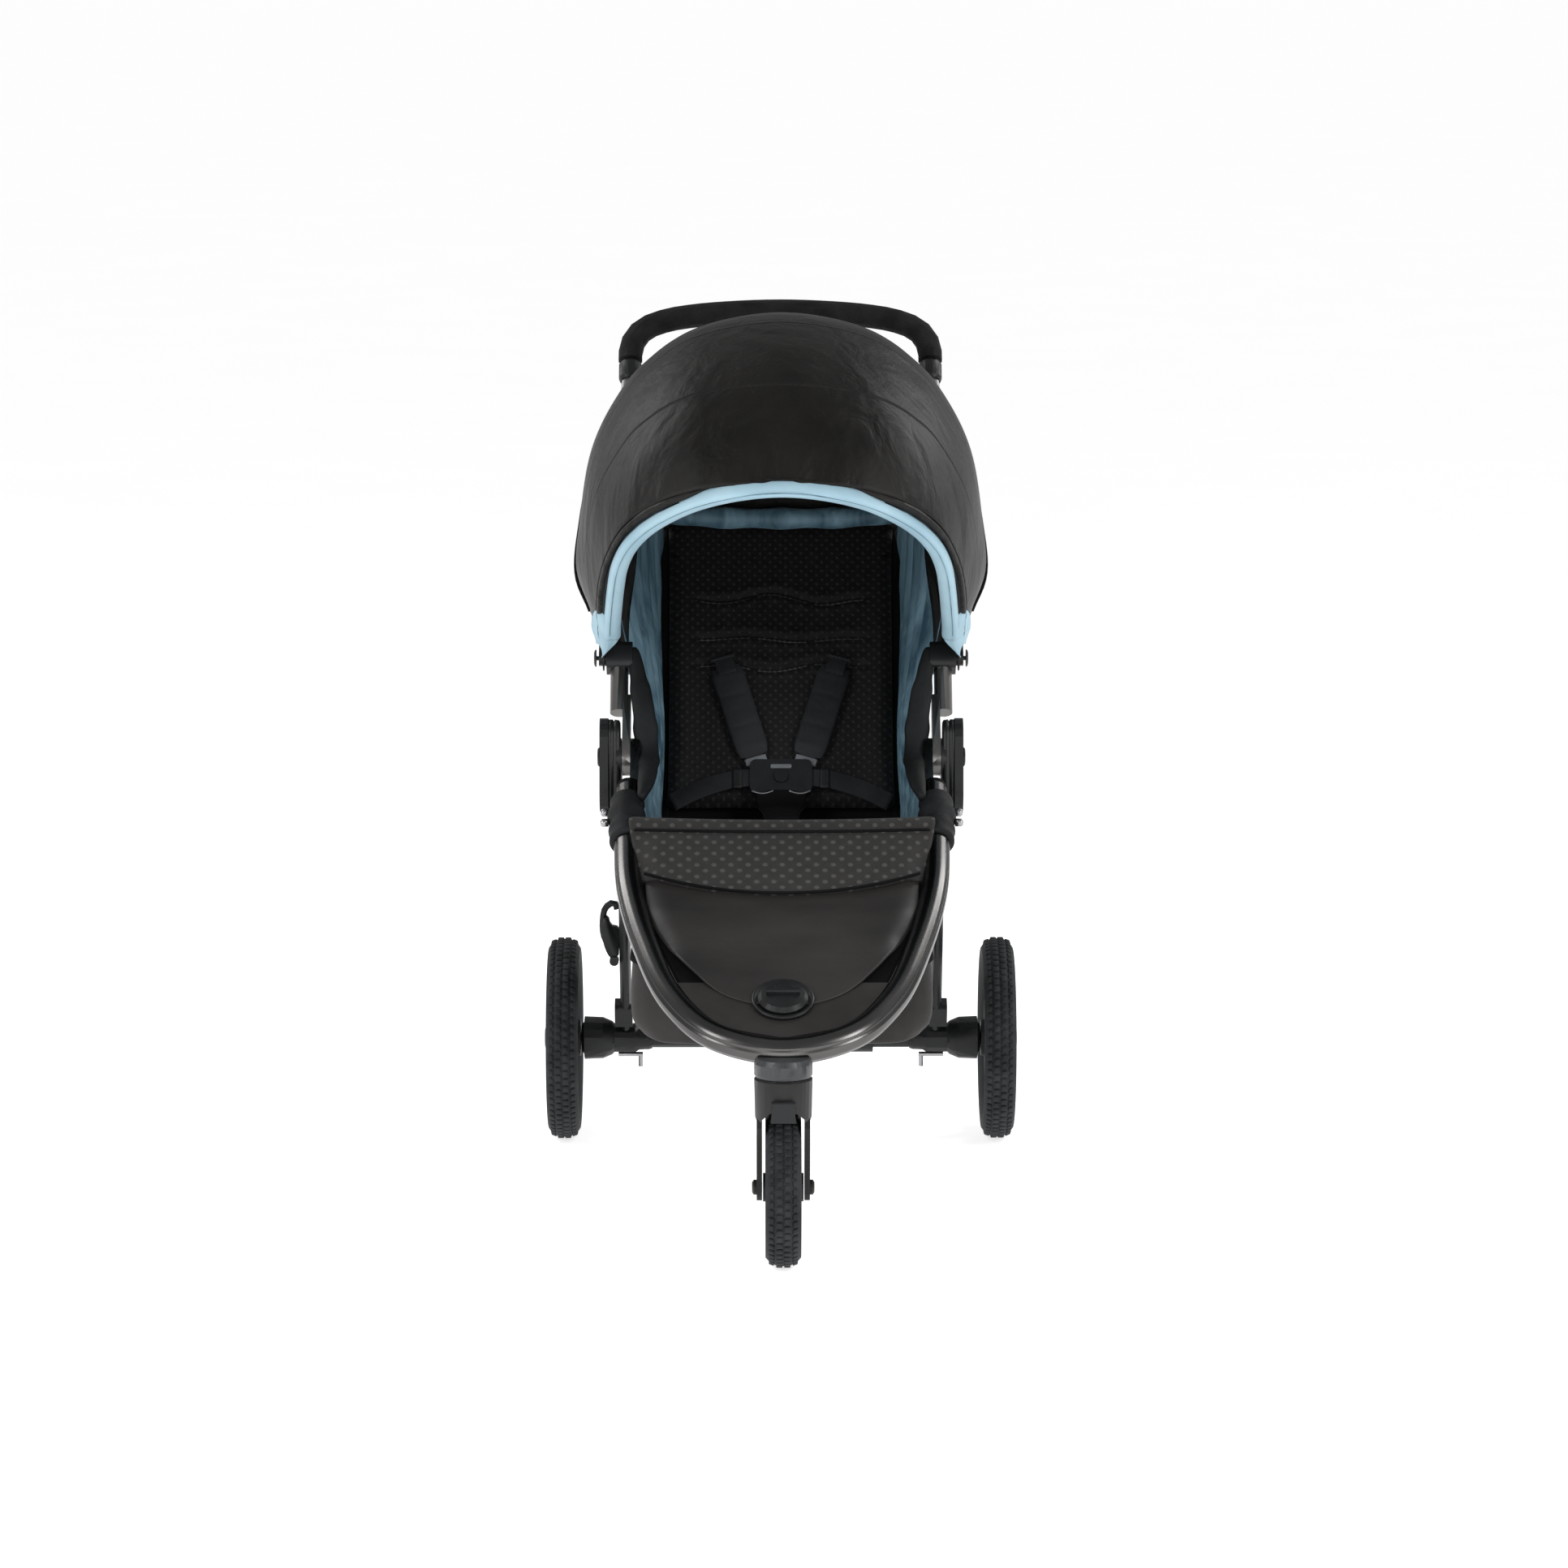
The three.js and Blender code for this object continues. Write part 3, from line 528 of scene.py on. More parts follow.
def tyre_rubber():
    look = Look("tyre_rubber", 0.72, specular=0.3)
    dust = look.noise(40, 5)
    look.colour(look.blend_colours(dust, (0.006, 0.007, 0.008), (0.022, 0.024, 0.026)))
    look.rough_between(dust, 0.6, 0.85)
    look.bump(look.noise(600, 3), 0.0003, 0.4)
    return look.material


def foam():
    look = Look("grip_foam", 0.88, specular=0.2)
    cells = look.node("ShaderNodeTexVoronoi", Vector=look.place, Scale=700.0).outputs["Distance"]
    look.colour(look.blend_colours(look.noise(30, 4), (0.006, 0.006, 0.006),
                                   (0.016, 0.015, 0.015)))
    look.bump(cells, 0.0004, 0.6)
    return look.material


def ribbed_webbing():
    look = Look("webbing", 0.62, specular=0.3, sheen=0.1)
    look.colour(look.blend_colours(look.noise(30, 3), (0.006, 0.007, 0.009),
                                   (0.014, 0.016, 0.019)))
    wave = look.node("ShaderNodeTexWave", Vector=look.place, bands_direction="DIAGONAL",
                     Scale=180.0)
    look.bump(wave.outputs["Fac"], 0.0004, 0.6)
    return look.material


HOOD = crumpled_nylon()
SEAT_CLOTH = woven("seat_cloth", (0.002, 0.002, 0.0024), (0.005, 0.005, 0.0056), 0.8,
                   specular=0.12, sheen=0.0).material
# painted highlight: light grey cloth for the thin threads on the back's puckered lines, standing in
# for light catching the puckers
PUCKER_HIGHLIGHT = woven("pucker_highlight_cloth", (0.016, 0.016, 0.017), (0.060, 0.058, 0.058), 0.7,
               specular=0.2).material
SIDE_CLOTH = woven("side_cloth", (0.004, 0.0044, 0.0048), (0.010, 0.011, 0.012), 0.62,
                   crease=0.003, specular=0.2, sheen=0.0).material
FOOTREST = moulded("footrest_plastic", (0.018, 0.0165, 0.0155), (0.026, 0.0240, 0.0230), 0.45, 500,
                   0.3)
BASKET_CLOTH = woven("basket_cloth", (0.016, 0.015, 0.014), (0.034, 0.031, 0.030), 0.72,
                     crease=0.003).material
TRIM_BLUE = woven("trim_blue", (0.25, 0.39, 0.47), (0.33, 0.48, 0.56), 0.6, 0.0006,
                  crease=0.001, specular=0.35).material
# blue lining: the trim's blue darkened as painted shade, with painted fold shade and highlight
LINING_BLUE_SHADED = hanging_cloth()
# each quilt's second colour is a painted highlight on its raised dots
QUILT_BACK = quilted("quilt_back", (0.0012, 0.0012, 0.0014), (0.016, 0.016, 0.018), BACK_DIR,
                     0.0135, 0.0063, 0.0023, 0.0008)
QUILT_FRONT = quilted("quilt_front", (0.018, 0.017, 0.016), (0.062, 0.058, 0.056), FRONT_DIR,
                      0.0208, 0.0105, 0.0034, 0.0011)
VINYL = coated_cloth()
DARK_TUBE = anodised_tube()
SILVER_TUBE = metal("anodised_silver", (0.17, 0.165, 0.16), (0.25, 0.24, 0.235), 0.3)
BLACK_PAINT = moulded("black_paint", (0.006, 0.0065, 0.007), (0.012, 0.013, 0.014), 0.34, 700, 0.3)
STEEL = metal("zinc_steel", (0.30, 0.30, 0.31), (0.42, 0.42, 0.43), 0.30)
PLASTIC = moulded("black_plastic", (0.005, 0.0056, 0.006), (0.011, 0.012, 0.013), 0.42, 900, 0.3)
FORK_PAINT = moulded("fork_paint", (0.0085, 0.0085, 0.0082), (0.0150, 0.0148, 0.0142), 0.40, 900,
                     0.3)
HARNESS_CLOTH = woven("harness_cloth", (0.009, 0.010, 0.011), (0.018, 0.020, 0.022), 0.62,
                      crease=0.002, specular=0.25).material
SATIN = moulded("satin_grey_plastic", (0.030, 0.032, 0.034), (0.046, 0.048, 0.050), 0.34)
GREY_PLASTIC = moulded("grey_plastic", (0.10, 0.11, 0.12), (0.16, 0.17, 0.18), 0.38)
GLOSS_PLASTIC = moulded("gloss_plastic", (0.010, 0.011, 0.012), (0.018, 0.019, 0.021), 0.2)
RUBBER = tyre_rubber()
FOAM = foam()
WEBBING = ribbed_webbing()


# ---------------------------------------------------------------- CAD nodes that stay
WELD_DISTANCE = 0.00002
SHARP_DEG = 32                   # edges steeper than this stay sharp


def smooth_cad():
    """Node group that joins the triangles of a CAD node and shades its shallow edges smooth."""
    group = bpy.data.node_groups.new("smooth_cad", "GeometryNodeTree")
    group.interface.new_socket("Geometry", in_out="INPUT", socket_type="NodeSocketGeometry")
    group.interface.new_socket("Geometry", in_out="OUTPUT", socket_type="NodeSocketGeometry")
    make = group.nodes.new
    start, end = make("NodeGroupInput"), make("NodeGroupOutput")
    weld = make("GeometryNodeMergeByDistance")
    weld.inputs["Distance"].default_value = WELD_DISTANCE
    drop = make("GeometryNodeRemoveAttribute")
    drop.inputs["Name"].default_value = "custom_normal"
    smooth = make("GeometryNodeSetShadeSmooth")
    sharp = make("GeometryNodeSetShadeSmooth")
    sharp.domain = "EDGE"
    sharp.inputs["Shade Smooth"].default_value = False
    angle = make("GeometryNodeInputMeshEdgeAngle")
    steep = make("FunctionNodeCompare")
    steep.data_type = "FLOAT"
    steep.operation = "GREATER_THAN"
    steep.inputs["B"].default_value = math.radians(SHARP_DEG)
    link = group.links.new
    link(start.outputs[0], weld.inputs[0])
    link(weld.outputs[0], drop.inputs[0])
    link(drop.outputs[0], smooth.inputs[0])
    link(smooth.outputs[0], sharp.inputs[0])
    link(angle.outputs[0], steep.inputs["A"])
    link(steep.outputs[0], sharp.inputs["Selection"])
    link(sharp.outputs[0], end.inputs[0])
    return group


CAD_LOOKS = {
    DARK_TUBE: ["front_frame_tube"],
    BLACK_PAINT: ["rear_leg_left", "rear_leg_right", "rear_axle_tube", "seat_base_frame",
                  "canopy_front_hoop", "canopy_mid_hoop", "canopy_rear_hoop"],
    SILVER_TUBE: ["upper_tube_left", "upper_tube_right", "handle_tube"],
    STEEL: ["wheel_release_pin_left", "wheel_release_pin_right"],
    FOAM: ["handle_grip"],
    SATIN: ["swivel_housing"],
    FORK_PAINT: ["front_fork"],
    GLOSS_PLASTIC: ["harness_buckle", "buckle_button"],
    SEAT_CLOTH: ["seat_back_board"],
    FOOTREST: ["footrest"],
}


def finish_cad_nodes():
    group = smooth_cad()
    chosen = {name: look for look, names in CAD_LOOKS.items() for name in names}
    for name, node in NODES.items():
        node.data.materials.clear()
        node.data.materials.append(chosen.get(name, PLASTIC))
        mod = node.modifiers.new("shading", "NODES")
        mod.node_group = group


# ---------------------------------------------------------------- canopy
HOOP_HALVES = {  # angle, base width, height, then (extra half width, distance from the pivot)
    "rear": (REAR_HOOP, 0.2307, 0.446, [
        (0.000, 0.018), (0.003, 0.060), (0.022, 0.112), (0.018, 0.178), (0.003, 0.258),
        (-0.026, 0.322), (-0.060, 0.374), (-0.122, 0.426)]),
    "mid": (MID_HOOP, 0.2282, 0.430, [
        (0.000, 0.018), (0.003, 0.060), (0.020, 0.112), (0.017, 0.178), (0.003, 0.258),
        (-0.024, 0.318), (-0.058, 0.366), (-0.120, 0.410)]),
    "front": (FRONT_HOOP, 0.2234, 0.372, [
        (0.000, 0.018), (-0.001, 0.060), (0.000, 0.112), (-0.005, 0.178), (-0.015, 0.230),
        (-0.035, 0.286), (-0.073, 0.334), (-0.131, 0.364)]),
}
HOOD_OFF = 0.008                 # cloth outside the hoops
SEAM_DEG = 118.0                 # sewn seam of the canopy's front section
TRIM_TOP = 0.702                 # height where the black cloth meets the blue corners


def half_hoop(name, count=60):
    """(x, distance from the canopy pivot) along one side of a hoop, from the pivot up."""
    _, base, top, sides = HOOP_HALVES[name]
    whole = [(base + w, r) for w, r in sides] + [(0.0, top)]
    whole += [(-x, r) for x, r in reversed(whole[:-1])]
    return curve(whole, 2 * count - 1)[:count]


HOOPS = {name: half_hoop(name) for name in HOOP_HALVES}


def hood_half(deg):
    """Half outline at any angle, on a smooth surface through the three hoops."""
    total = [Vector((0, 0)) for _ in HOOPS["mid"]]
    for name, hoop in HOOPS.items():
        own = HOOP_HALVES[name][0]
        weight = 1.0
        for other in (HOOP_HALVES[k][0] for k in HOOPS if k != name):
            weight *= (deg - other) / (own - other)
        total = [t + p * weight for t, p in zip(total, hoop)]
    from_rear = min(max(deg, REAR_HOOP), MID_HOOP) - REAR_HOOP
    slack = 0.025 * math.sin(math.pi * from_rear / (MID_HOOP - REAR_HOOP)) ** 2
    return [Vector((p.x, p.y * (1 - slack * fade(0.28, 0.40, p.y)))) for p in total]


def side_x(deg, r):
    """Half width of the canopy surface at a distance r from the pivot, on the side wall."""
    return lookup(r, [(p.y, p.x) for p in hood_half(deg)[:30]])


def corner_x(deg, r):
    """Half width of the blue corner cloth, which closes in on the hoop toward the pivot."""
    return side_x(deg, max(r, 0.02)) + HOOD_OFF * (0.35 + 0.65 * fade(0.015, 0.045, r))


def hood_outline(deg, low):
    """Half outline from distance low up to the middle of the roof."""
    line = [p for p in hood_half(deg) if p.y > low + 0.003]
    return [Vector((side_x(deg, low), low)), *line]


def outward(line, i):
    t = line[min(i + 1, len(line) - 1)] - line[max(i - 1, 0)]
    return Vector((t.y, -t.x)).normalized()


def edge_low(deg):
    """Distance from the pivot at which the black cloth ends."""
    top = TRIM_TOP + 0.014 * fade(112, FRONT_HOOP, deg)
    return (top - BRACKET[1]) / math.sin(math.radians(deg))


def hood_ripple(x, r, deg):
    """Fine puckers above the front edge, and shallow slack elsewhere."""
    crown = fade(0.21, 0.06, abs(x))
    pucker = 0.0026 * crown * fade(121, 134, deg) * noise.noise(Vector((x * 55, deg * 0.12, 1.7)))
    slack = 0.0030 * noise.noise(Vector((x * 7, deg * 0.035, r * 7)))
    drape = 0.0016 * noise.noise(Vector((x * 30, deg * 0.02, 4.0))) * fade(0.08, 0.16, abs(x))
    return pucker + slack + drape


def hood_rows(start, end, stations, steps):
    """Grid of the canopy between two angles."""
    columns = []
    for k in range(steps + 1):
        deg = start + (end - start) * k / steps
        half = curve(hood_outline(deg, edge_low(deg)), stations)
        column = []
        for i, p in enumerate(half):
            column.append(p + outward(half, i) * (HOOD_OFF + hood_ripple(p.x, p.y, deg)))
        column[-1].x = 0
        columns.append(mirrored([polar(BRACKET, deg, p.y, p.x) for p in column]))
    return columns


def corner_rows(start, end, sign):
    """Grid of the blue corner below a canopy section, tapering to the pivot."""
    rows = []
    for k in range(7):
        deg = start + (end - start) * k / 6
        row = []
        for i in range(9):
            r = 0.019 + (edge_low(deg) + 0.006 - 0.019) * i / 8
            x = corner_x(deg, r)
            x += 0.0012 * math.sin(r * 160 + deg * 0.12) * fade(0.02, 0.04, r) + 0.0008
            x -= 0.0030 * fade(-0.004, 0.002, r - edge_low(deg))
            row.append(polar(BRACKET, deg, r, sign * x))
        rows.append(row)
    return rows


HOOD_SECTIONS = (
    ("rear", REAR_HOOP, MID_HOOP + 0.4, 22, "upper_frame", "canopy_middle"),
    ("middle", MID_HOOP - 0.4, SEAM_DEG + 0.4, 13, "canopy_middle", "canopy_discs"),
    ("front", SEAM_DEG - 0.4, 138.6, 13, "canopy_discs", "canopy_front"),
)


def make_canopy():
    stands_for = {"rear": "canopy_rear_cloth", "middle": "canopy_front_cloth"}
    for name, start, end, steps, body_a, body_b in HOOD_SECTIONS:
        piece = cloth(f"hood_{name}", hood_rows(start, end, 64, steps), HOOD)
        if name in stands_for:
            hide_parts(stands_for[name])
        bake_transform(piece)
        for side, sign in SIDES:
            corner = cloth(f"hood_corner_{name}_{side}", corner_rows(start, end, sign), TRIM_BLUE)
            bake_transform(corner)
    make_front_band(make_front_facing())
    make_rear_rim()
    make_rear_panel()


# Binding of the canopy's front edge: half width and distance from the canopy pivot.
BAND_LINE = [(0.2098, 0.060), (0.2092, 0.084), (0.2068, 0.1207), (0.2028, 0.1691),
             (0.1968, 0.2166), (0.1837, 0.2602), (0.1619, 0.297), (0.1326, 0.3273),
             (0.0993, 0.351), (0.051, 0.3701), (0.0, 0.3776)]


def band_half(low, stations):
    """Half of the binding's line, from distance low up to the middle."""
    line = [Vector(p) for p in BAND_LINE]
    whole = curve(line + [Vector((-p.x, p.y)) for p in reversed(line[:-1])], 161)[:81]
    kept = [p for p in whole if p.y > low]
    kept[-1].x = 0
    return curve(kept, stations)


def ring_along(deg, half, offsets):
    """Rows beside a half outline at an angle; offsets are (outward, along the turn)."""
    rows = []
    for out, turn in offsets:
        row = []
        for i, p in enumerate(half):
            q = p + outward(half, i) * out
            row.append(polar(BRACKET, deg, q.y, q.x) + normal(deg) * turn)
        row[-1].x = 0
        rows.append(mirrored(row))
    return rows


def changing_over(crown, sides, a, b):
    """Rows that follow crown near the middle and sides beyond, changing over between a and b."""
    return [[p.lerp(q, fade(a, b, abs(p.x))) for p, q in zip(*pair)] for pair in zip(crown, sides)]


def make_front_band(facings):
    """Light blue binding round the canopy's front edge, with a sewn groove in the middle."""
    section = [(0.0066, -0.0105), (0.0092, -0.004), (0.0087, 0.002), (0.0072, 0.0062),
               (0.0048, 0.0095), (0.0030, 0.0098), (0.0012, 0.0118),
               (-0.0038, 0.0112), (-0.0068, 0.0065), (-0.0064, 0.001)]
    half = band_half(0.058, 56)
    narrow = ring_along(FRONT_HOOP, half, [(out - 0.0035 * fade(0, 0.007, out), turn)
                                           for out, turn in section])
    wide = ring_along(FRONT_HOOP, half, [(out + 0.0050 * fade(0, 0.007, out),
                                          turn + 0.0045 * fade(0, 0.007, out))
                                         for out, turn in section])
    band = cloth("hood_front_band", changing_over(narrow, wide, 0.02, 0.08), TRIM_BLUE)
    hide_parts("canopy_front_band")
    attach(band, "canopy_front")
    inside, outside = (ring_along(FRONT_HOOP, band_half(0.066, 60), [place])
                       for place in ((0.0038, 0.0102), (0.0066, 0.0128)))
    path = changing_over(inside, outside, 0.02, 0.08)[0]
    seam = sweep("hood_band_seam", path, circle(0.0006, 6), normal(FRONT_HOOP), LINING_BLUE_SHADED)
    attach(seam, "canopy_front")


WING_INNER = [(0.014, 0.2290), (0.035, 0.2170), (0.056, 0.2040), (0.075, 0.2040), (0.10, 0.2060)]


def make_front_facing():
    """Cloth turned in over the front hoop: black above, blue at the lower corners."""
    low = edge_low(FRONT_HOOP)
    hoop = curve(hood_outline(FRONT_HOOP, low), 60)
    band = band_half(low + 0.002, 60)
    flat = ring_along(FRONT_HOOP, hoop, [(0.0072, -0.0060), (0.0070, -0.0064), (0.0064, -0.0068),
                                  (0.0050, -0.0072), (0.0030, -0.0076)])
    lip = ring_along(FRONT_HOOP, hoop, [(0.0072, -0.0060), (0.0082, 0.0005), (0.0080, 0.0036),
                                 (0.0056, 0.0054), (-0.0022, 0.0054)])
    rows = changing_over(flat, lip, 0.075, 0.125)
    inner = ring_along(FRONT_HOOP, band, [(0.0080, -0.0080)])[0]
    rows[4] = [p.lerp(q, 1 - fade(0.010, 0.020, (p - q).length)) for p, q in zip(rows[4], inner)]
    for share in (0.4, 0.7, 1.0):
        rows.append([p.lerp(q, share) for p, q in zip(rows[4], inner)])
    facing = cloth("hood_facing", rows, HOOD)
    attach(facing, "canopy_front")
    pieces = [facing]
    for side, sign in SIDES:
        fan = []
        for t in np.linspace(0, 1, 9):
            r = 0.015 + (low + 0.006 - 0.015) * t
            tuck = fade(-0.004, 0.002, r - low)
            start = corner_x(FRONT_HOOP, r)
            end = lookup(r, WING_INNER)
            row = []
            for u in np.linspace(0, 1, 8):
                pucker = 0.0012 * math.sin(u * 9 + t * 7) * math.sin(math.pi * u)
                turn = 0.001 + 0.0075 * fade(0, 0.35, u) * (1 - tuck) + pucker - 0.003 * tuck
                x = sign * (start + (end - start) * u)
                row.append(polar(BRACKET, FRONT_HOOP, r, x) + normal(FRONT_HOOP) * turn)
            fan.append(row)
        wing = cloth(f"hood_wing_{side}", fan, TRIM_BLUE)
        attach(wing, "canopy_front")
        pieces.append(wing)
    return pieces


def make_rear_rim():
    half = curve(hood_outline(REAR_HOOP, 0.066), 60)
    path = ring_along(REAR_HOOP, half, [(HOOD_OFF + 0.001, 0.002)])[0]
    rim = sweep("hood_rear_piping", path, circle(0.0024, 8), normal(REAR_HOOP),
                SEAT_CLOTH)
    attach(rim, "upper_frame")


def make_rear_panel():
    """Cloth wall behind the rider's head, from the rear hoop round the tubes to the seat back."""
    rows = []
    low, high = Vector((0, 0.4400, 0.7790)), Vector((0, 0.392, 1.020))
    half = curve(hood_outline(REAR_HOOP, 0.185), 15)
    for i, p in enumerate(half):
        v = i / (len(half) - 1)
        q = p + outward(half, i) * HOOD_OFF
        hoop = polar(BRACKET, REAR_HOOP, q.y, q.x if i < len(half) - 1 else 0)
        wall = low.lerp(high, fade(0, 1, v) * 0.55 + v * 0.45)
        wall.x = min(0.1575, p.x)
        height = (hoop.z + max(wall.z, 0.862)) / 2
        tube_y = PIVOT[0] + (height - PIVOT[1]) / math.tan(math.radians(UPPER_DIR))
        inner = Vector((min(0.178, p.x), min(tube_y - 0.012, wall.y), height))
        row = [hoop.lerp(inner, t) for t in np.linspace(0, 1, 5)]
        row += [inner.lerp(wall, t) for t in np.linspace(0.25, 1, 4)]
        for t in np.linspace(0.12, 1, 8):
            q = wall.copy()
            q.x = wall.x * (1 - t)
            q.y += 0.010 * math.sin(math.pi * t / 2) * math.sin(math.pi * v)
            row.append(q)
        rows.append(mirrored(row))
    panel = cloth("hood_rear_wall", rows, HOOD)
    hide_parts("canopy_rear_panel")
    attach(panel, "upper_frame")
    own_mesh(panel)
    roll = sweep("hood_rear_lining", head_roll(),
                 lambda t: circle(0.014 + 0.0012 * math.sin(9 * math.pi * t), 14),
                 Vector((0, 0, 1)), LINING_BLUE_SHADED, 1)
    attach(roll, "upper_frame")
    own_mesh(roll)


def head_roll():
    """Blue padded roll across the top of the seat opening."""
    right = [(0.158, 0.385, 0.812), (0.120, 0.392, 0.804), (0.0, 0.396, 0.800)]
    return curve(mirrored([Vector(p) for p in right]), 40)


# ---------------------------------------------------------------- seat
def make_seat():
    make_back_cushion()
    make_seat_cushion()
    make_front_quilt()
    make_calf_panel()
    make_calf_gap_shade()
    for side, sign in SIDES:
        make_lining(side, sign)
        make_side_wing(side, sign)
        make_cuff(side, sign)


BACK_CHANNELS = (  # height along the back, and the waves of each puckered line
    (0.341, 0.0085, 0.6), (0.285, 0.0035, 2.1), (0.246, 0.0060, 3.7),
)


def channel_line(x, height, wave, phase):
    """Height of a puckered line at x."""
    return height + wave * math.cos(x * 42 + phase) * math.cos(x * 13)


def back_relief(p):
    """Puckered lines across the upper back and a shallow hollow between padded sides."""
    s = (Vector((0, p.y, p.z)) - Vector((0, *CREASE))).dot(direction(BACK_DIR))
    x = p.x
    width = fade(0.125, 0.085, abs(x))
    total = 0.0
    for height, wave, phase in BACK_CHANNELS:
        gap = abs(s - channel_line(x, height, wave, phase))
        total -= 0.0045 * width * math.exp(-(gap / 0.0042) ** 2)
        fold = 0.6 + 0.4 * math.sin(x * 190 + phase * 5)
        total += 0.0022 * width * fold * math.exp(-((gap - 0.010) / 0.006) ** 2)
    total += 0.004 * fade(0.095, 0.135, abs(x)) * fade(0.40, 0.30, s)
    return total


def flatten_on_back(piece):
    """Gives the piece a mesh of its own."""
    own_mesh(piece)


def make_back_cushion():
    cushion = pad("back_cushion", on_back, 0.1515, 0.046, 0.457, 0.0065, 0.024, 0.010, QUILT_BACK)
    inflate(cushion, 0.006)
    push(cushion, normal(BACK_DIR), back_relief)
    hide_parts("seat_back_pad")
    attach(cushion, "seat_back")
    flatten_on_back(cushion)
    for k, (height, wave, phase) in enumerate(BACK_CHANNELS):
        for x0, x1 in ((-0.112, -0.040), (-0.030, 0.034), (0.044, 0.116)):
            line = [on_back(channel_line(x, height, wave, phase) - 0.0035, x, 0.0292)
                    for x in np.linspace(x0, x1, 12)]
            # raised thread on each puckered line, coloured light grey as a painted highlight
            highlight_thread = sweep(f"back_pucker_highlight_{k}_{int(1000 + x0 * 1000)}", curve(line, 60),
                           lambda t: circle(0.0010 + 0.0006 * math.sin(t * 60), 6),
                           normal(BACK_DIR), PUCKER_HIGHLIGHT)
            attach(highlight_thread, "seat_back")
            flatten_on_back(highlight_thread)
    edge = [on_back(0.402 + 0.002 * math.cos(x * 30), x, 0.0275)
            for x in np.linspace(-0.14, 0.14, 9)]
    seam = sweep("back_cushion_piping", curve(edge, 40), circle(0.0018, 8), normal(BACK_DIR),
                 SEAT_CLOTH)
    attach(seam, "seat_back")
    flatten_on_back(seam)


def make_seat_cushion():
    cushion = pad("seat_cushion_soft", on_seat, 0.152, 0.022, 0.250, 0.011, 0.032, 0.030,
                  QUILT_BACK)
    inflate(cushion, 0.006)
    push(cushion, -normal(SEAT_DIR), lambda p: -0.003 * fade(0.10, 0.0, abs(p.x)))
    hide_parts("seat_cushion")
    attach(cushion, "front_frame")
    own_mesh(cushion)


def front_half_width(s):
    return lookup(s, [(0.13, 0.178), (0.165, 0.190), (0.19, 0.186), (0.215, 0.1815),
                      (0.24, 0.1765), (0.29, 0.169), (0.33, 0.160)])


def quilt_bottom(u):
    """Where the quilted band ends on the front plane, lower in the middle."""
    return 0.257 + 0.042 * (1 - abs(u) ** 2.2)


def make_front_quilt():
    """Quilted band that rolls over the seat's front edge and down between the frame tubes."""
    over = [on_seat(0.205, 0, 0.0375), on_seat(0.236, 0, 0.0400), on_front(0.163, 0, 0.0215),
            on_front(0.180, 0, 0.0180), on_front(0.215, 0, 0.0155)]
    rows = []
    for u in np.linspace(-1, 1, 49):
        bottom = quilt_bottom(u)
        line = curve([*over, on_front((0.215 + bottom) / 2, 0, 0.0125),
                      on_front(bottom, 0, 0.0095)], 26)
        row = []
        for p in line:
            s = (p - Vector((0, *PIVOT))).dot(direction(FRONT_DIR))
            q = p.copy()
            q.x = u * front_half_width(s)
            dip = 0.004 * (1 - u * u) * fade(0.20, 0.15, s)
            q -= Vector((0, 0, 1)) * (dip + 0.010 * fade(0.86, 1.0, abs(u)) * fade(0.17, 0.24, s))
            row.append(q)
        rows.append(row)
    quilt = cloth("seat_front_quilt", rows, QUILT_FRONT, thick=0.006)
    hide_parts("seat_front_panel")
    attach(quilt, "front_frame")
    shares = np.linspace(-0.97, 0.97, 41)
    seam_s = 0.182
    seam = [on_front(seam_s + 0.004 * (1 - u * u), u * front_half_width(seam_s), 0.0212)
            for u in shares]
    hem = [on_front(quilt_bottom(u), u * front_half_width(quilt_bottom(u)), 0.0125)
           for u in shares]
    for label, path in (("seam", seam), ("hem", hem)):
        piping = sweep(f"seat_front_{label}", path, circle(0.0020, 8),
                       -normal(FRONT_DIR), SEAT_CLOTH)
        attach(piping, "front_frame")


CALF_HALF = [(0.256, 0.1765), (0.281, 0.1740), (0.318, 0.1660), (0.360, 0.1540), (0.405, 0.1350),
             (0.440, 0.1160), (0.470, 0.0950), (0.492, 0.0740), (0.506, 0.0520), (0.512, 0.034)]


def make_calf_panel():
    """Smooth coated panel behind the rider's calves, hanging inside the bow of the frame."""
    rows = []
    for s in np.linspace(0.256, 0.512, 32):
        half = lookup(s, CALF_HALF)
        row = []
        for u in np.linspace(-1, 1, 33):
            belly = 0.0040 + 0.0075 * fade(0.275, 0.345, s)
            belly -= 0.0030 * (1 - u * u) * fade(0.34, 0.42, s) * fade(0.50, 0.44, s)
            belly -= 0.009 * fade(0.90, 1.0, abs(u)) * fade(0.44, 0.38, s)
            belly -= 0.003 * fade(0.46, 0.49, s)
            ripple = 0.0012 * noise.noise(Vector((u * 1.3, s * 34, 0.4)))
            row.append(on_front(s, u * half, belly + ripple))
        rows.append(row)
    panel = cloth("calf_sheet", rows, VINYL, thick=0.003)
    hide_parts("calf_panel")
    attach(panel, "front_frame")


def make_calf_gap_shade():
    """Black sheet that fills the bow of the frame behind the calf panel, showing round the panel's
    edges as painted shade in the gap before the tube.
    """
    rows = []
    for s in np.linspace(0.262, 0.474, 16):
        half = lookup(s, [(0.26, 0.1715), (0.28, 0.1705), (0.391, 0.1485), (0.46, 0.1260),
                          (0.48, 0.1170)])
        rows.append([on_front(s, u * half, 0.0002) for u in np.linspace(-1, 1, 21)])
    # painted shade: black sheet showing round the calf panel's edges as the shade in the gap before
    # the tube
    gap_shade = cloth("calf_gap_shade", rows, SEAT_CLOTH)
    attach(gap_shade, "front_frame")


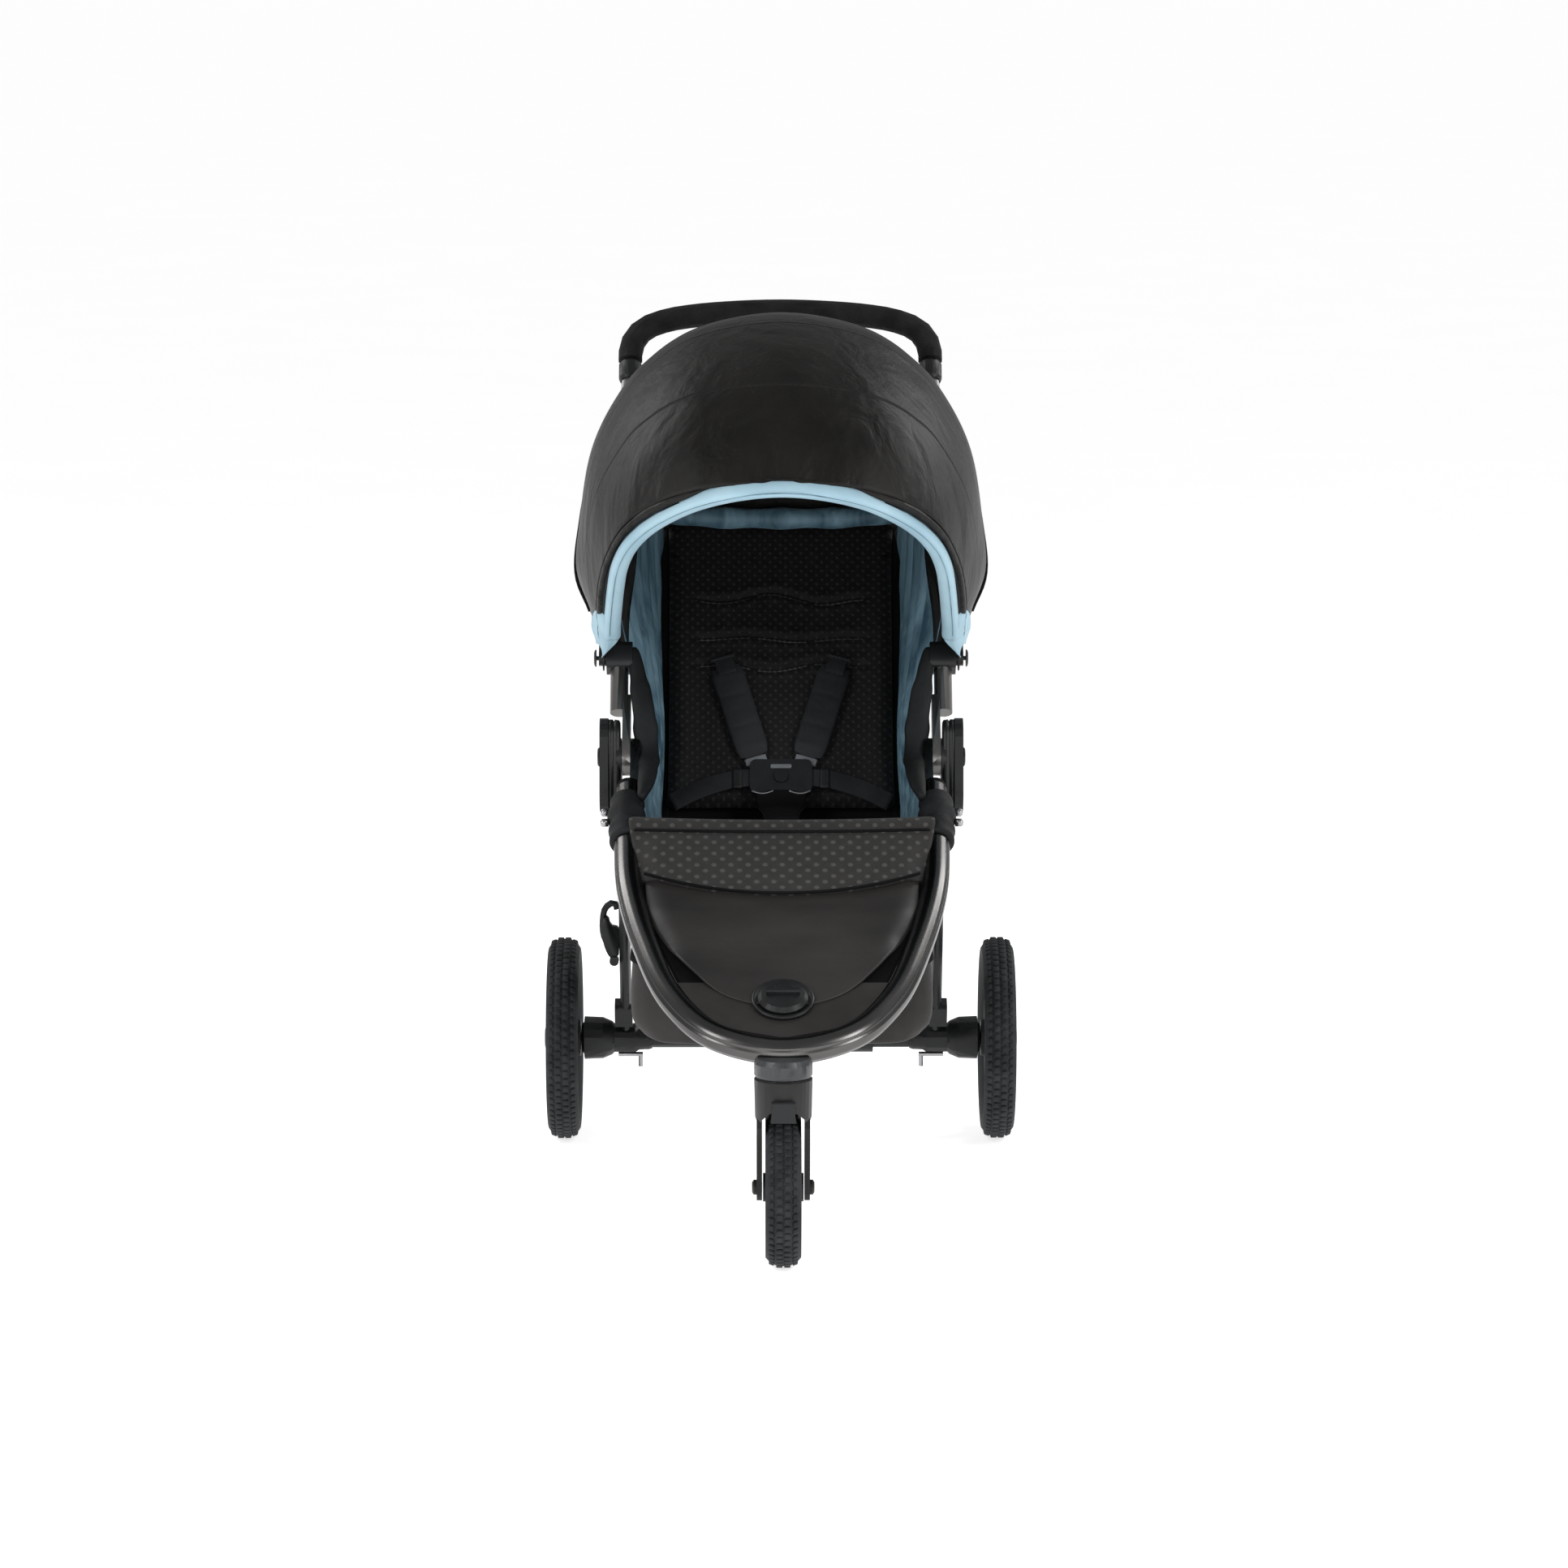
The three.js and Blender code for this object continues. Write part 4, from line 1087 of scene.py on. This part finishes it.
def make_lining(side, sign):
    """Blue cloth side of the seat, hanging in soft vertical folds from the frame tubes."""
    front = [on_front(0.154, 0.172), on_front(0.050, 0.171), on_upper(0.030, 0.172),
             on_upper(0.140, 0.194, 0.008), on_upper(0.220, 0.208, 0.014),
             on_upper(0.330, 0.206, 0.018)]
    rear = [on_back(-0.014, 0.1560, 0.008), on_back(0.100, 0.1528, -0.004),
            on_back(0.270, 0.1524, -0.010), on_back(0.380, 0.1524, -0.012),
            Vector((0.154, 0.428, 0.790)), Vector((0.158, 0.404, 0.860))]
    rows = []
    for v, (a, b) in enumerate(zip(curve(front, 34), curve(rear, 34))):
        share = v / 33
        row = []
        for u in np.linspace(0, 1, 30):
            p = b.lerp(a, u)
            depth = 0.0085 * math.sin(math.pi * u) ** 0.7 * fade(0.0, 0.4, share)
            wave = math.sin(u * 21 + 1.6 * math.sin(share * 4) + share * 2)
            p.x += depth * (1 - 2 * abs(wave) ** 1.6)
            p.x -= 0.004 * math.sin(math.pi * u) * fade(0.6, 0.2, share)
            p.x *= sign
            row.append(p)
        rows.append(row)
    lining = cloth(f"side_lining_{side}", rows, LINING_BLUE_SHADED)
    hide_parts(f"side_panel_{side}")
    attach(lining, "front_frame")
    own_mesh(lining)
    path = [on_back(s, sign * 0.1505, 0.0085) for s in np.linspace(-0.012, 0.448, 30)]
    oval = [(0.0072 * u, 0.0052 * v) for u, v in circle(1, 12)]
    edge = sweep(f"side_gusset_{side}", path, oval, Vector((1, 0, 0)), SEAT_CLOTH)
    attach(edge, "seat_back")
    rows = [[on_seat(s, sign * x, 0.0135) for x in np.linspace(0.144, 0.176, 6)]
            for s in np.linspace(0.004, 0.238, 14)]
    flap = cloth(f"seat_side_flap_{side}", rows, SEAT_CLOTH)
    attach(flap, "front_frame")


def make_side_wing(side, sign):
    """Puffy black cloth along the inside of the tubes, from the canopy bracket to the cuff."""
    path = [on_upper(0.150, sign * 0.188, 0.010), on_upper(0.105, sign * 0.181, 0.010),
            on_upper(0.055, sign * 0.1735, 0.012), on_upper(0.0, sign * 0.1690, 0.014),
            on_front(0.045, sign * 0.1670, 0.016), on_front(0.085, sign * 0.1700, 0.018),
            on_front(0.112, sign * 0.176, 0.016)]

    def outline(t):
        width = 0.005 + 0.0105 * math.sin(math.pi * t) ** 0.7
        width *= 1 + 0.06 * math.sin(t * 31) + 0.04 * math.sin(t * 57 + 1)
        return [(width * u, 0.0070 * v) for u, v in circle(1, 16)]

    wing = sweep(f"side_wing_{side}", curve(path, 30), outline, Vector((1, 0, 0)), SIDE_CLOTH, 1)
    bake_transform(wing)


def make_cuff(side, sign):
    """Cloth cuff wrapped round the tube, gathered under a strap, with its bolt."""
    path = curve([on_front(0.094, sign * 0.192), on_front(0.135, sign * 0.193),
                  on_front(0.182, sign * 0.192)], 26)

    def outline(t):
        swell = 1 + 0.05 * math.sin(t * 21) - 0.16 * math.exp(-((t - 0.62) / 0.07) ** 2)
        swell *= 0.86 + 0.14 * math.sin(math.pi * t)
        return [(0.0235 * swell * u, 0.0240 * swell * v) for u, v in circle(1, 24)]

    cuff = sweep(f"cuff_{side}", path, outline, Vector((1, 0, 0)), SIDE_CLOTH, 1)
    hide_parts(f"seat_cuff_{side}")
    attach(cuff, "front_frame")
    for s in (0.118, 0.139):
        bolt = turned(f"cuff_bolt_{side}_{int(s * 1000)}",
                      [(0.005, 0.0), (0.005, 0.008), (0.0035, 0.010)], Vector((sign, 0, 0)),
                      on_front(s, sign * 0.215), STEEL, 16)
        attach(bolt, "front_frame")


# ---------------------------------------------------------------- harness
def make_harness():
    for side, sign in SIDES:
        make_shoulder(side, sign)
        make_waist_strap(side, sign)
    make_crotch_strap()
    make_buckle_bar_and_glints()


def make_shoulder(side, sign):
    """Padded shoulder cover with sewn ribs, its webbing and its grey slide."""
    slant = (Vector((sign * 0.29, 0, 0)) + direction(BACK_DIR) * 0.957).normalized()
    across = slant.cross(normal(BACK_DIR)).normalized()
    middle = on_back(0.178, sign * 0.053, 0.0362)
    path = [middle + slant * t for t in np.linspace(-0.066, 0.066, 34)]

    def outline(t):
        rib = 1 - 0.16 * max(0.0, math.cos(2 * math.pi * t * 6)) ** 6
        end = min(1.0, math.sin(math.pi * min(max(t, 0.02), 0.98)) * 3.2)
        return [(0.0215 * (0.8 + 0.2 * end) * u, 0.0056 * rib * end * v)
                for u, v in round_rect(2, 2, 0.7, 4)]

    cover = sweep(f"shoulder_cover_{side}", path, outline, across, HARNESS_CLOTH, 1)
    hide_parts(f"shoulder_pad_{side}")
    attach(cover, "seat_back")
    top = middle + slant * 0.060
    above = strap(f"shoulder_strap_{side}", [
        top - slant * 0.006 + normal(BACK_DIR) * 0.004, top + normal(BACK_DIR) * 0.0045,
        top + slant * 0.016 + normal(BACK_DIR) * 0.001,
        top + slant * 0.022 - normal(BACK_DIR) * 0.012], 0.024, across, WEBBING)
    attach(above, "seat_back")
    low = middle - slant * 0.066
    lower = strap(f"shoulder_tail_{side}", [
        low + slant * 0.010, low - slant * 0.012, on_back(0.098, sign * 0.024, 0.041)],
        0.022, across, WEBBING)
    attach(lower, "seat_back")
    make_slide(f"shoulder_slide_{side}", low - slant * 0.006, slant, across, 0.028, 0.010)
    slot_bar = top + slant * 0.018 + normal(BACK_DIR) * 0.0005
    make_slide(f"shoulder_slot_{side}", slot_bar, slant, across, 0.032, 0.004, WEBBING)


def make_slide(name, at, along, across, width, length, material=GREY_PLASTIC):
    """Small moulded strap slide."""
    path = [at + across * t for t in np.linspace(-width / 2, width / 2, 9)]
    bar = sweep(name, path, round_rect(length, 0.005, 0.0015, 2), along, material)
    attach(bar, "seat_back")


def make_waist_strap(side, sign):
    points = [on_back(0.084, sign * 0.036, 0.040), on_back(0.081, sign * 0.062, 0.040),
              on_back(0.068, sign * 0.105, 0.038), on_back(0.052, sign * 0.140, 0.033)]
    waist = strap(f"waist_strap_{side}", points, 0.024, direction(BACK_DIR), WEBBING)
    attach(waist, "seat_back")
    make_slide(f"waist_slide_{side}", on_back(0.082, sign * 0.056, 0.0415),
               Vector((1, 0, 0)), direction(BACK_DIR), 0.028, 0.012, PLASTIC)


def make_crotch_strap():
    """Wide padded strap from the seat up to the buckle."""
    path = curve([on_back(0.068, 0, 0.0400), on_back(0.056, 0, 0.0405), on_back(0.042, 0, 0.046),
                  on_seat(0.066, 0, 0.048), on_seat(0.094, 0, 0.037), on_seat(0.100, 0, 0.020)], 24)

    def outline(t):
        half = 0.033 - 0.010 * fade(0.0, 0.7, t)
        return [(half * u, 0.0042 * v) for u, v in round_rect(2, 2, 0.6, 4)]

    pad_piece = sweep("crotch_strap", path, outline, Vector((1, 0, 0)), SEAT_CLOTH, 1)
    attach(pad_piece, "seat_back")


def make_buckle_bar_and_glints():
    """Grey bar on the release button, and bright steel bars along the lower edges of the buckle's
    tongues as painted highlights.
    """
    bar = sweep("buckle_bar", [on_back(0.0975, x, 0.0448) for x in np.linspace(-0.014, 0.014, 9)],
                round_rect(0.006, 0.003, 0.001, 2), direction(BACK_DIR), GREY_PLASTIC, 1)
    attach(bar, "seat_back")
    for side, sign in SIDES:
        arc = [on_back(0.064 - 0.004 * math.sin(math.pi * t), sign * (0.010 + 0.028 * t), 0.0445)
               for t in np.linspace(0, 1, 12)]
        # painted highlight: bright steel bar standing in for the glint on a tongue's lower edge
        edge = sweep(f"buckle_edge_glint_{side}", arc, circle(0.0013, 8), normal(BACK_DIR), STEEL)
        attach(edge, "seat_back")


# ---------------------------------------------------------------- frame details
# Middle line of the front tube: half width, and distance from the fold pivot.
U_CURVE = [(0.191, 0.066), (0.191, 0.190), (0.186, 0.280), (0.1645, 0.391), (0.130, 0.497),
           (0.081, 0.562), (0.0, 0.590)]
SLEEVE_RADIUS = 0.0162           # just outside the CAD tube
GROOVE_DEPTH = 0.0008


def grooved_profile(count=72):
    """Round tube section with four shallow grooves, two on the upper and two on the lower face."""
    out = []
    for i in range(count):
        a = 2 * math.pi * i / count
        r = SLEEVE_RADIUS
        for groove in (58, 122, 238, 302):
            gap = abs((math.degrees(a) - groove + 180) % 360 - 180)
            r -= GROOVE_DEPTH * fade(12, 4, gap)
        out.append((r * math.cos(a), r * math.sin(a)))
    return out


def make_frame_details():
    path = curve(mirrored([on_front(s, x) for x, s in U_CURVE]), 150)
    sleeve = sweep("front_frame_sleeve", path, grooved_profile(), -normal(FRONT_DIR), DARK_TUBE)
    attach(sleeve, "front_frame")
    for side, sign in SIDES:
        rivet = turned(f"bow_rivet_{side}",
                       [(0.006, 0.0), (0.006, 0.004), (0.003, 0.006)], normal(FRONT_DIR),
                       on_front(0.569, sign * 0.070, -0.012), PLASTIC, 14)
        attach(rivet, "front_frame")
    ring = turned("knob_ring", [(0.037, 0.0078), (0.0375, 0.012), (0.034, 0.0135), (0.031, 0.0078)],
                  -normal(FRONT_DIR), on_front(0.505), PLASTIC, 40)
    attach(ring, "front_frame")


def make_pivot_covers():
    """Inner half of each fold housing, with chamfered edges and a parting slot."""
    up = Vector((0, 0.14, 0.99)).normalized()
    for side, sign in SIDES:
        rings = []
        for x, inset in ((0.2030, 0.004), (0.2045, 0.001), (0.2100, 0.0), (0.2108, 0.0016),
                         (0.2120, 0.0016), (0.2128, 0.0), (0.2180, 0.0)):
            outline = []
            for k in range(40):
                a = 2 * math.pi * (k + 0.5) / 40
                r = 0.0225 - inset
                shift = 0.025 if math.cos(a) > 0 else -0.043
                y, z = r * math.sin(a), r * math.cos(a) + shift
                p = Vector((sign * x, *PIVOT)) + up * z + Vector((0, up.z, -up.y)) * y
                outline.append(p)
            rings.append(outline)
        cover = loft(f"pivot_cover_{side}", rings, PLASTIC, 0)
        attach(cover, "front_frame")


def make_latch_body():
    """Solid lower half of the latch hook on the left rear leg."""
    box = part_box("fold_latch_hook")
    y0, y1, z0 = box[0][1], box[1][1], box[0][2]
    outline = [(-0.2095, 0.014), (-0.2185, 0.009), (-0.2270, 0.022), (-0.2312, 0.044),
               (-0.2300, 0.062), (-0.2235, 0.065), (-0.2190, 0.053), (-0.2095, 0.050)]
    ring = curve([*outline, outline[0]], 25)[:-1]
    centre = sum(ring, Vector((0, 0))) / len(ring)
    rings = []
    for share, inset in ((0.08, 0.0015), (0.16, 0.0), (0.84, 0.0), (0.92, 0.0015)):
        inner = [q + (centre - q).normalized() * inset for q in ring]
        rings.append([Vector((p.x, y0 + (y1 - y0) * share, z0 + p.y)) for p in inner])
    body = loft("latch_body", rings, PLASTIC, 0)
    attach(body, "latch")


# ---------------------------------------------------------------- wheels
def make_tyre(name, node, body, at, radius, half, depth, blocks):
    """Tyre carcass with a chunky block tread and side knobs."""
    tread = 0.0018
    core = radius - tread
    section = [(core - depth + tread, -half * 0.62), (core - depth * 0.6, -half * 0.93),
               (core - depth * 0.35, -half * 0.99), (core - 0.006, -half * 0.80),
               (core - 0.0012, -half * 0.45), (core, 0.0), (core - 0.0012, half * 0.45),
               (core - 0.006, half * 0.80), (core - depth * 0.35, half * 0.99),
               (core - depth * 0.6, half * 0.93), (core - depth + tread, half * 0.62)]
    verts, faces = [], []
    turns = 96
    width = len(section)
    for i in range(turns):
        a = 2 * math.pi * i / turns
        out = direction(math.degrees(a))
        verts += [at + out * r + Vector((h, 0, 0)) for r, h in section]
        b = (i + 1) % turns
        for k in range(width):
            m = (k + 1) % width
            faces.append((i * width + k, i * width + m, b * width + m, b * width + k))
    add_blocks(verts, faces, at, core, half, tread, blocks)
    tyre = mesh_object(name, verts, faces, RUBBER)
    fix_normals(tyre)
    bevel(tyre, 0.0006, 1)
    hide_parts(node)
    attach(tyre, body)


def add_blocks(verts, faces, at, core, half, tread, count):
    """Rows of tread blocks: two staggered in the middle, and knobs on each shoulder."""
    rows = ((-0.22, 0.17, 0.0, 0.0), (0.22, 0.17, 0.5, 0.0), (-0.66, 0.14, 0.5, 0.0035),
            (0.66, 0.14, 0.0, 0.0035))
    step = 2 * math.pi / count
    for middle, wide, phase, drop in rows:
        for i in range(count):
            a0 = step * (i + phase + 0.14)
            a1 = step * (i + phase + 0.86)
            first = len(verts)
            for a in (a0, a1):
                out = direction(math.degrees(a))
                for share in (middle - wide, middle + wide):
                    sink = drop * (1.2 if abs(share) > 0.6 else 0.6)
                    for r in (core - 0.004 - sink, core + tread - sink):
                        verts.append(at + out * r + Vector((share * half, 0, 0)))
            q = [first + n for n in range(8)]
            faces += [(q[0], q[1], q[3], q[2]), (q[4], q[6], q[7], q[5]), (q[0], q[4], q[5], q[1]),
                      (q[2], q[3], q[7], q[6]), (q[1], q[5], q[7], q[3]), (q[0], q[2], q[6], q[4])]


def make_wheels():
    for side, sign in SIDES:
        x, y, radius = REAR_WHEEL
        at = Vector((sign * x, y, radius))
        make_tyre(f"tread_tyre_{side}", f"rear_tyre_{side}", f"rear_wheel_{side}", at, radius,
                  half=0.021, depth=0.0335, blocks=76)
        cap = turned(f"hub_cap_{side}", [(0.017, 0.0), (0.017, 0.003), (0.011, 0.0048)],
                     Vector((sign, 0, 0)), at + Vector((sign * 0.0212, 0, 0)), SATIN, 28)
        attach(cap, f"rear_wheel_{side}")
    make_tyre("tread_tyre_front", "front_tyre", "front_wheel", Vector(FRONT_WHEEL),
              FRONT_WHEEL[2], half=0.0215, depth=0.0295, blocks=58)


# ---------------------------------------------------------------- storage basket
def basket_ring(z, share):
    """Outline of the basket at a height; share runs from 0 at the floor to 1 at the rim."""
    half_x = 0.172 + 0.014 * fade(0.0, 0.32, share) + 0.002 * share
    y0, y1 = -0.058 - 0.012 * fade(0.0, 0.5, share), 0.220 + 0.006 * share
    outline = round_rect(2 * half_x, y1 - y0, 0.030, 4)
    ring = []
    for x, y in outline:
        corner = (abs(x) / half_x) ** 4
        lift = 0.014 * corner * (1 - fade(0.0, 0.3, share))
        sag = 0.003 * math.sin(math.pi * share) * math.sin(x * 40 + y * 25)
        ring.append(Vector((x + math.copysign(sag, x) - math.copysign(0.003, x) * share,
                            y + (y0 + y1) / 2, z + lift)))
    return ring


def make_basket():
    """Cloth tub with soft walls, a sagging floor and a corded rim."""
    rows = []
    for share in (1.0, 0.85, 0.65, 0.45, 0.25, 0.08, 0.0):
        rows.append(basket_ring(0.188 + 0.112 * share, share))
    base = rows[-1]
    centre = Vector((0, 0.079, 0.180))
    for inset in (0.12, 0.35, 0.6, 0.85):
        rows.append([p.lerp(centre, inset) for p in base])
    width = len(base)
    verts = [p for row in rows for p in row]
    faces = grid_faces(len(rows), width, looped=True)
    faces.append(tuple(range((len(rows) - 1) * width, len(rows) * width)))
    tub = mesh_object("basket_tub", verts, faces, BASKET_CLOTH)
    subdivide(tub, 2)
    thicken(tub, 0.002)
    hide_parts("storage_basket")
    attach(tub, "front_frame")
    rim = rows[0] + [rows[0][0], rows[0][1]]
    hem = sweep("basket_hem", rim, circle(0.0038, 10), Vector((0, 0, 1)), SEAT_CLOTH)
    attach(hem, "front_frame")


# ---------------------------------------------------------------- stage
def make_stage():
    look = Look("floor_white", 0.9, specular=0.1)
    look.colour(look.blend_colours(look.noise(2, 2), (0.88, 0.88, 0.88), (0.90, 0.90, 0.90)))
    look.set("Emission Color", (1, 1, 1, 1))
    look.set("Emission Strength", 0.68)
    reach = 150.0
    floor = mesh_object("floor", [(-reach, -reach, 0), (reach, -reach, 0), (reach, reach, 0),
                                  (-reach, reach, 0)], [(0, 1, 2, 3)], look.material)
    world = bpy.data.worlds.new("studio")
    world.use_nodes = True
    world.node_tree.nodes["Background"].inputs[0].default_value = (1, 1, 1, 1)
    world.node_tree.nodes["Background"].inputs[1].default_value = 0.34
    bpy.context.scene.world = world
    lights = (
        ("left_box", (-2.6, -2.2, 1.9), (0, 0.1, 0.6), (0.9, 2.2), 55),
        ("right_box", (2.6, -2.2, 1.9), (0, 0.1, 0.6), (0.9, 2.2), 60),
        ("left_rear_box", (-2.1, 1.5, 2.3), (0, 0.2, 0.8), (0.5, 2.0), 26),
        ("right_rear_box", (2.1, 1.5, 2.3), (0, 0.2, 0.8), (0.5, 2.0), 32),
        ("front_box", (0, -4.2, 0.9), (0, 0, 0.5), (2.6, 0.8), 22),
    )
    for name, place, target, size, power in lights:
        data = bpy.data.lights.new(name, "AREA")
        data.shape = "RECTANGLE"
        data.size, data.size_y = size
        data.energy = power
        lamp = bpy.data.objects.new(name, data)
        lamp.location = place
        aim = Vector(target) - Vector(place)
        lamp.rotation_euler = aim.to_track_quat("-Z", "Y").to_euler()
        bpy.context.scene.collection.objects.link(lamp)


CAMERA_LENS = 125.6              # mm
CAMERA_PLACE = (-0.0285, -6.7125, 1.60)
CAMERA_DROP = 9.2                # degrees below the horizon
CAMERA_TURN = -0.00466           # radians about the vertical


def make_camera():
    data = bpy.data.cameras.new("camera")
    data.lens = CAMERA_LENS
    data.clip_end = 400
    camera = bpy.data.objects.new("camera", data)
    camera.location = CAMERA_PLACE
    camera.rotation_euler = (math.radians(90 - CAMERA_DROP), 0, CAMERA_TURN)
    bpy.context.scene.collection.objects.link(camera)
    bpy.context.scene.camera = camera


bpy.context.scene.view_settings.view_transform = "Standard"
finish_cad_nodes()
make_canopy()
make_seat()
make_harness()
make_frame_details()
make_pivot_covers()
make_latch_body()
make_wheels()
make_basket()
make_stage()
make_camera()
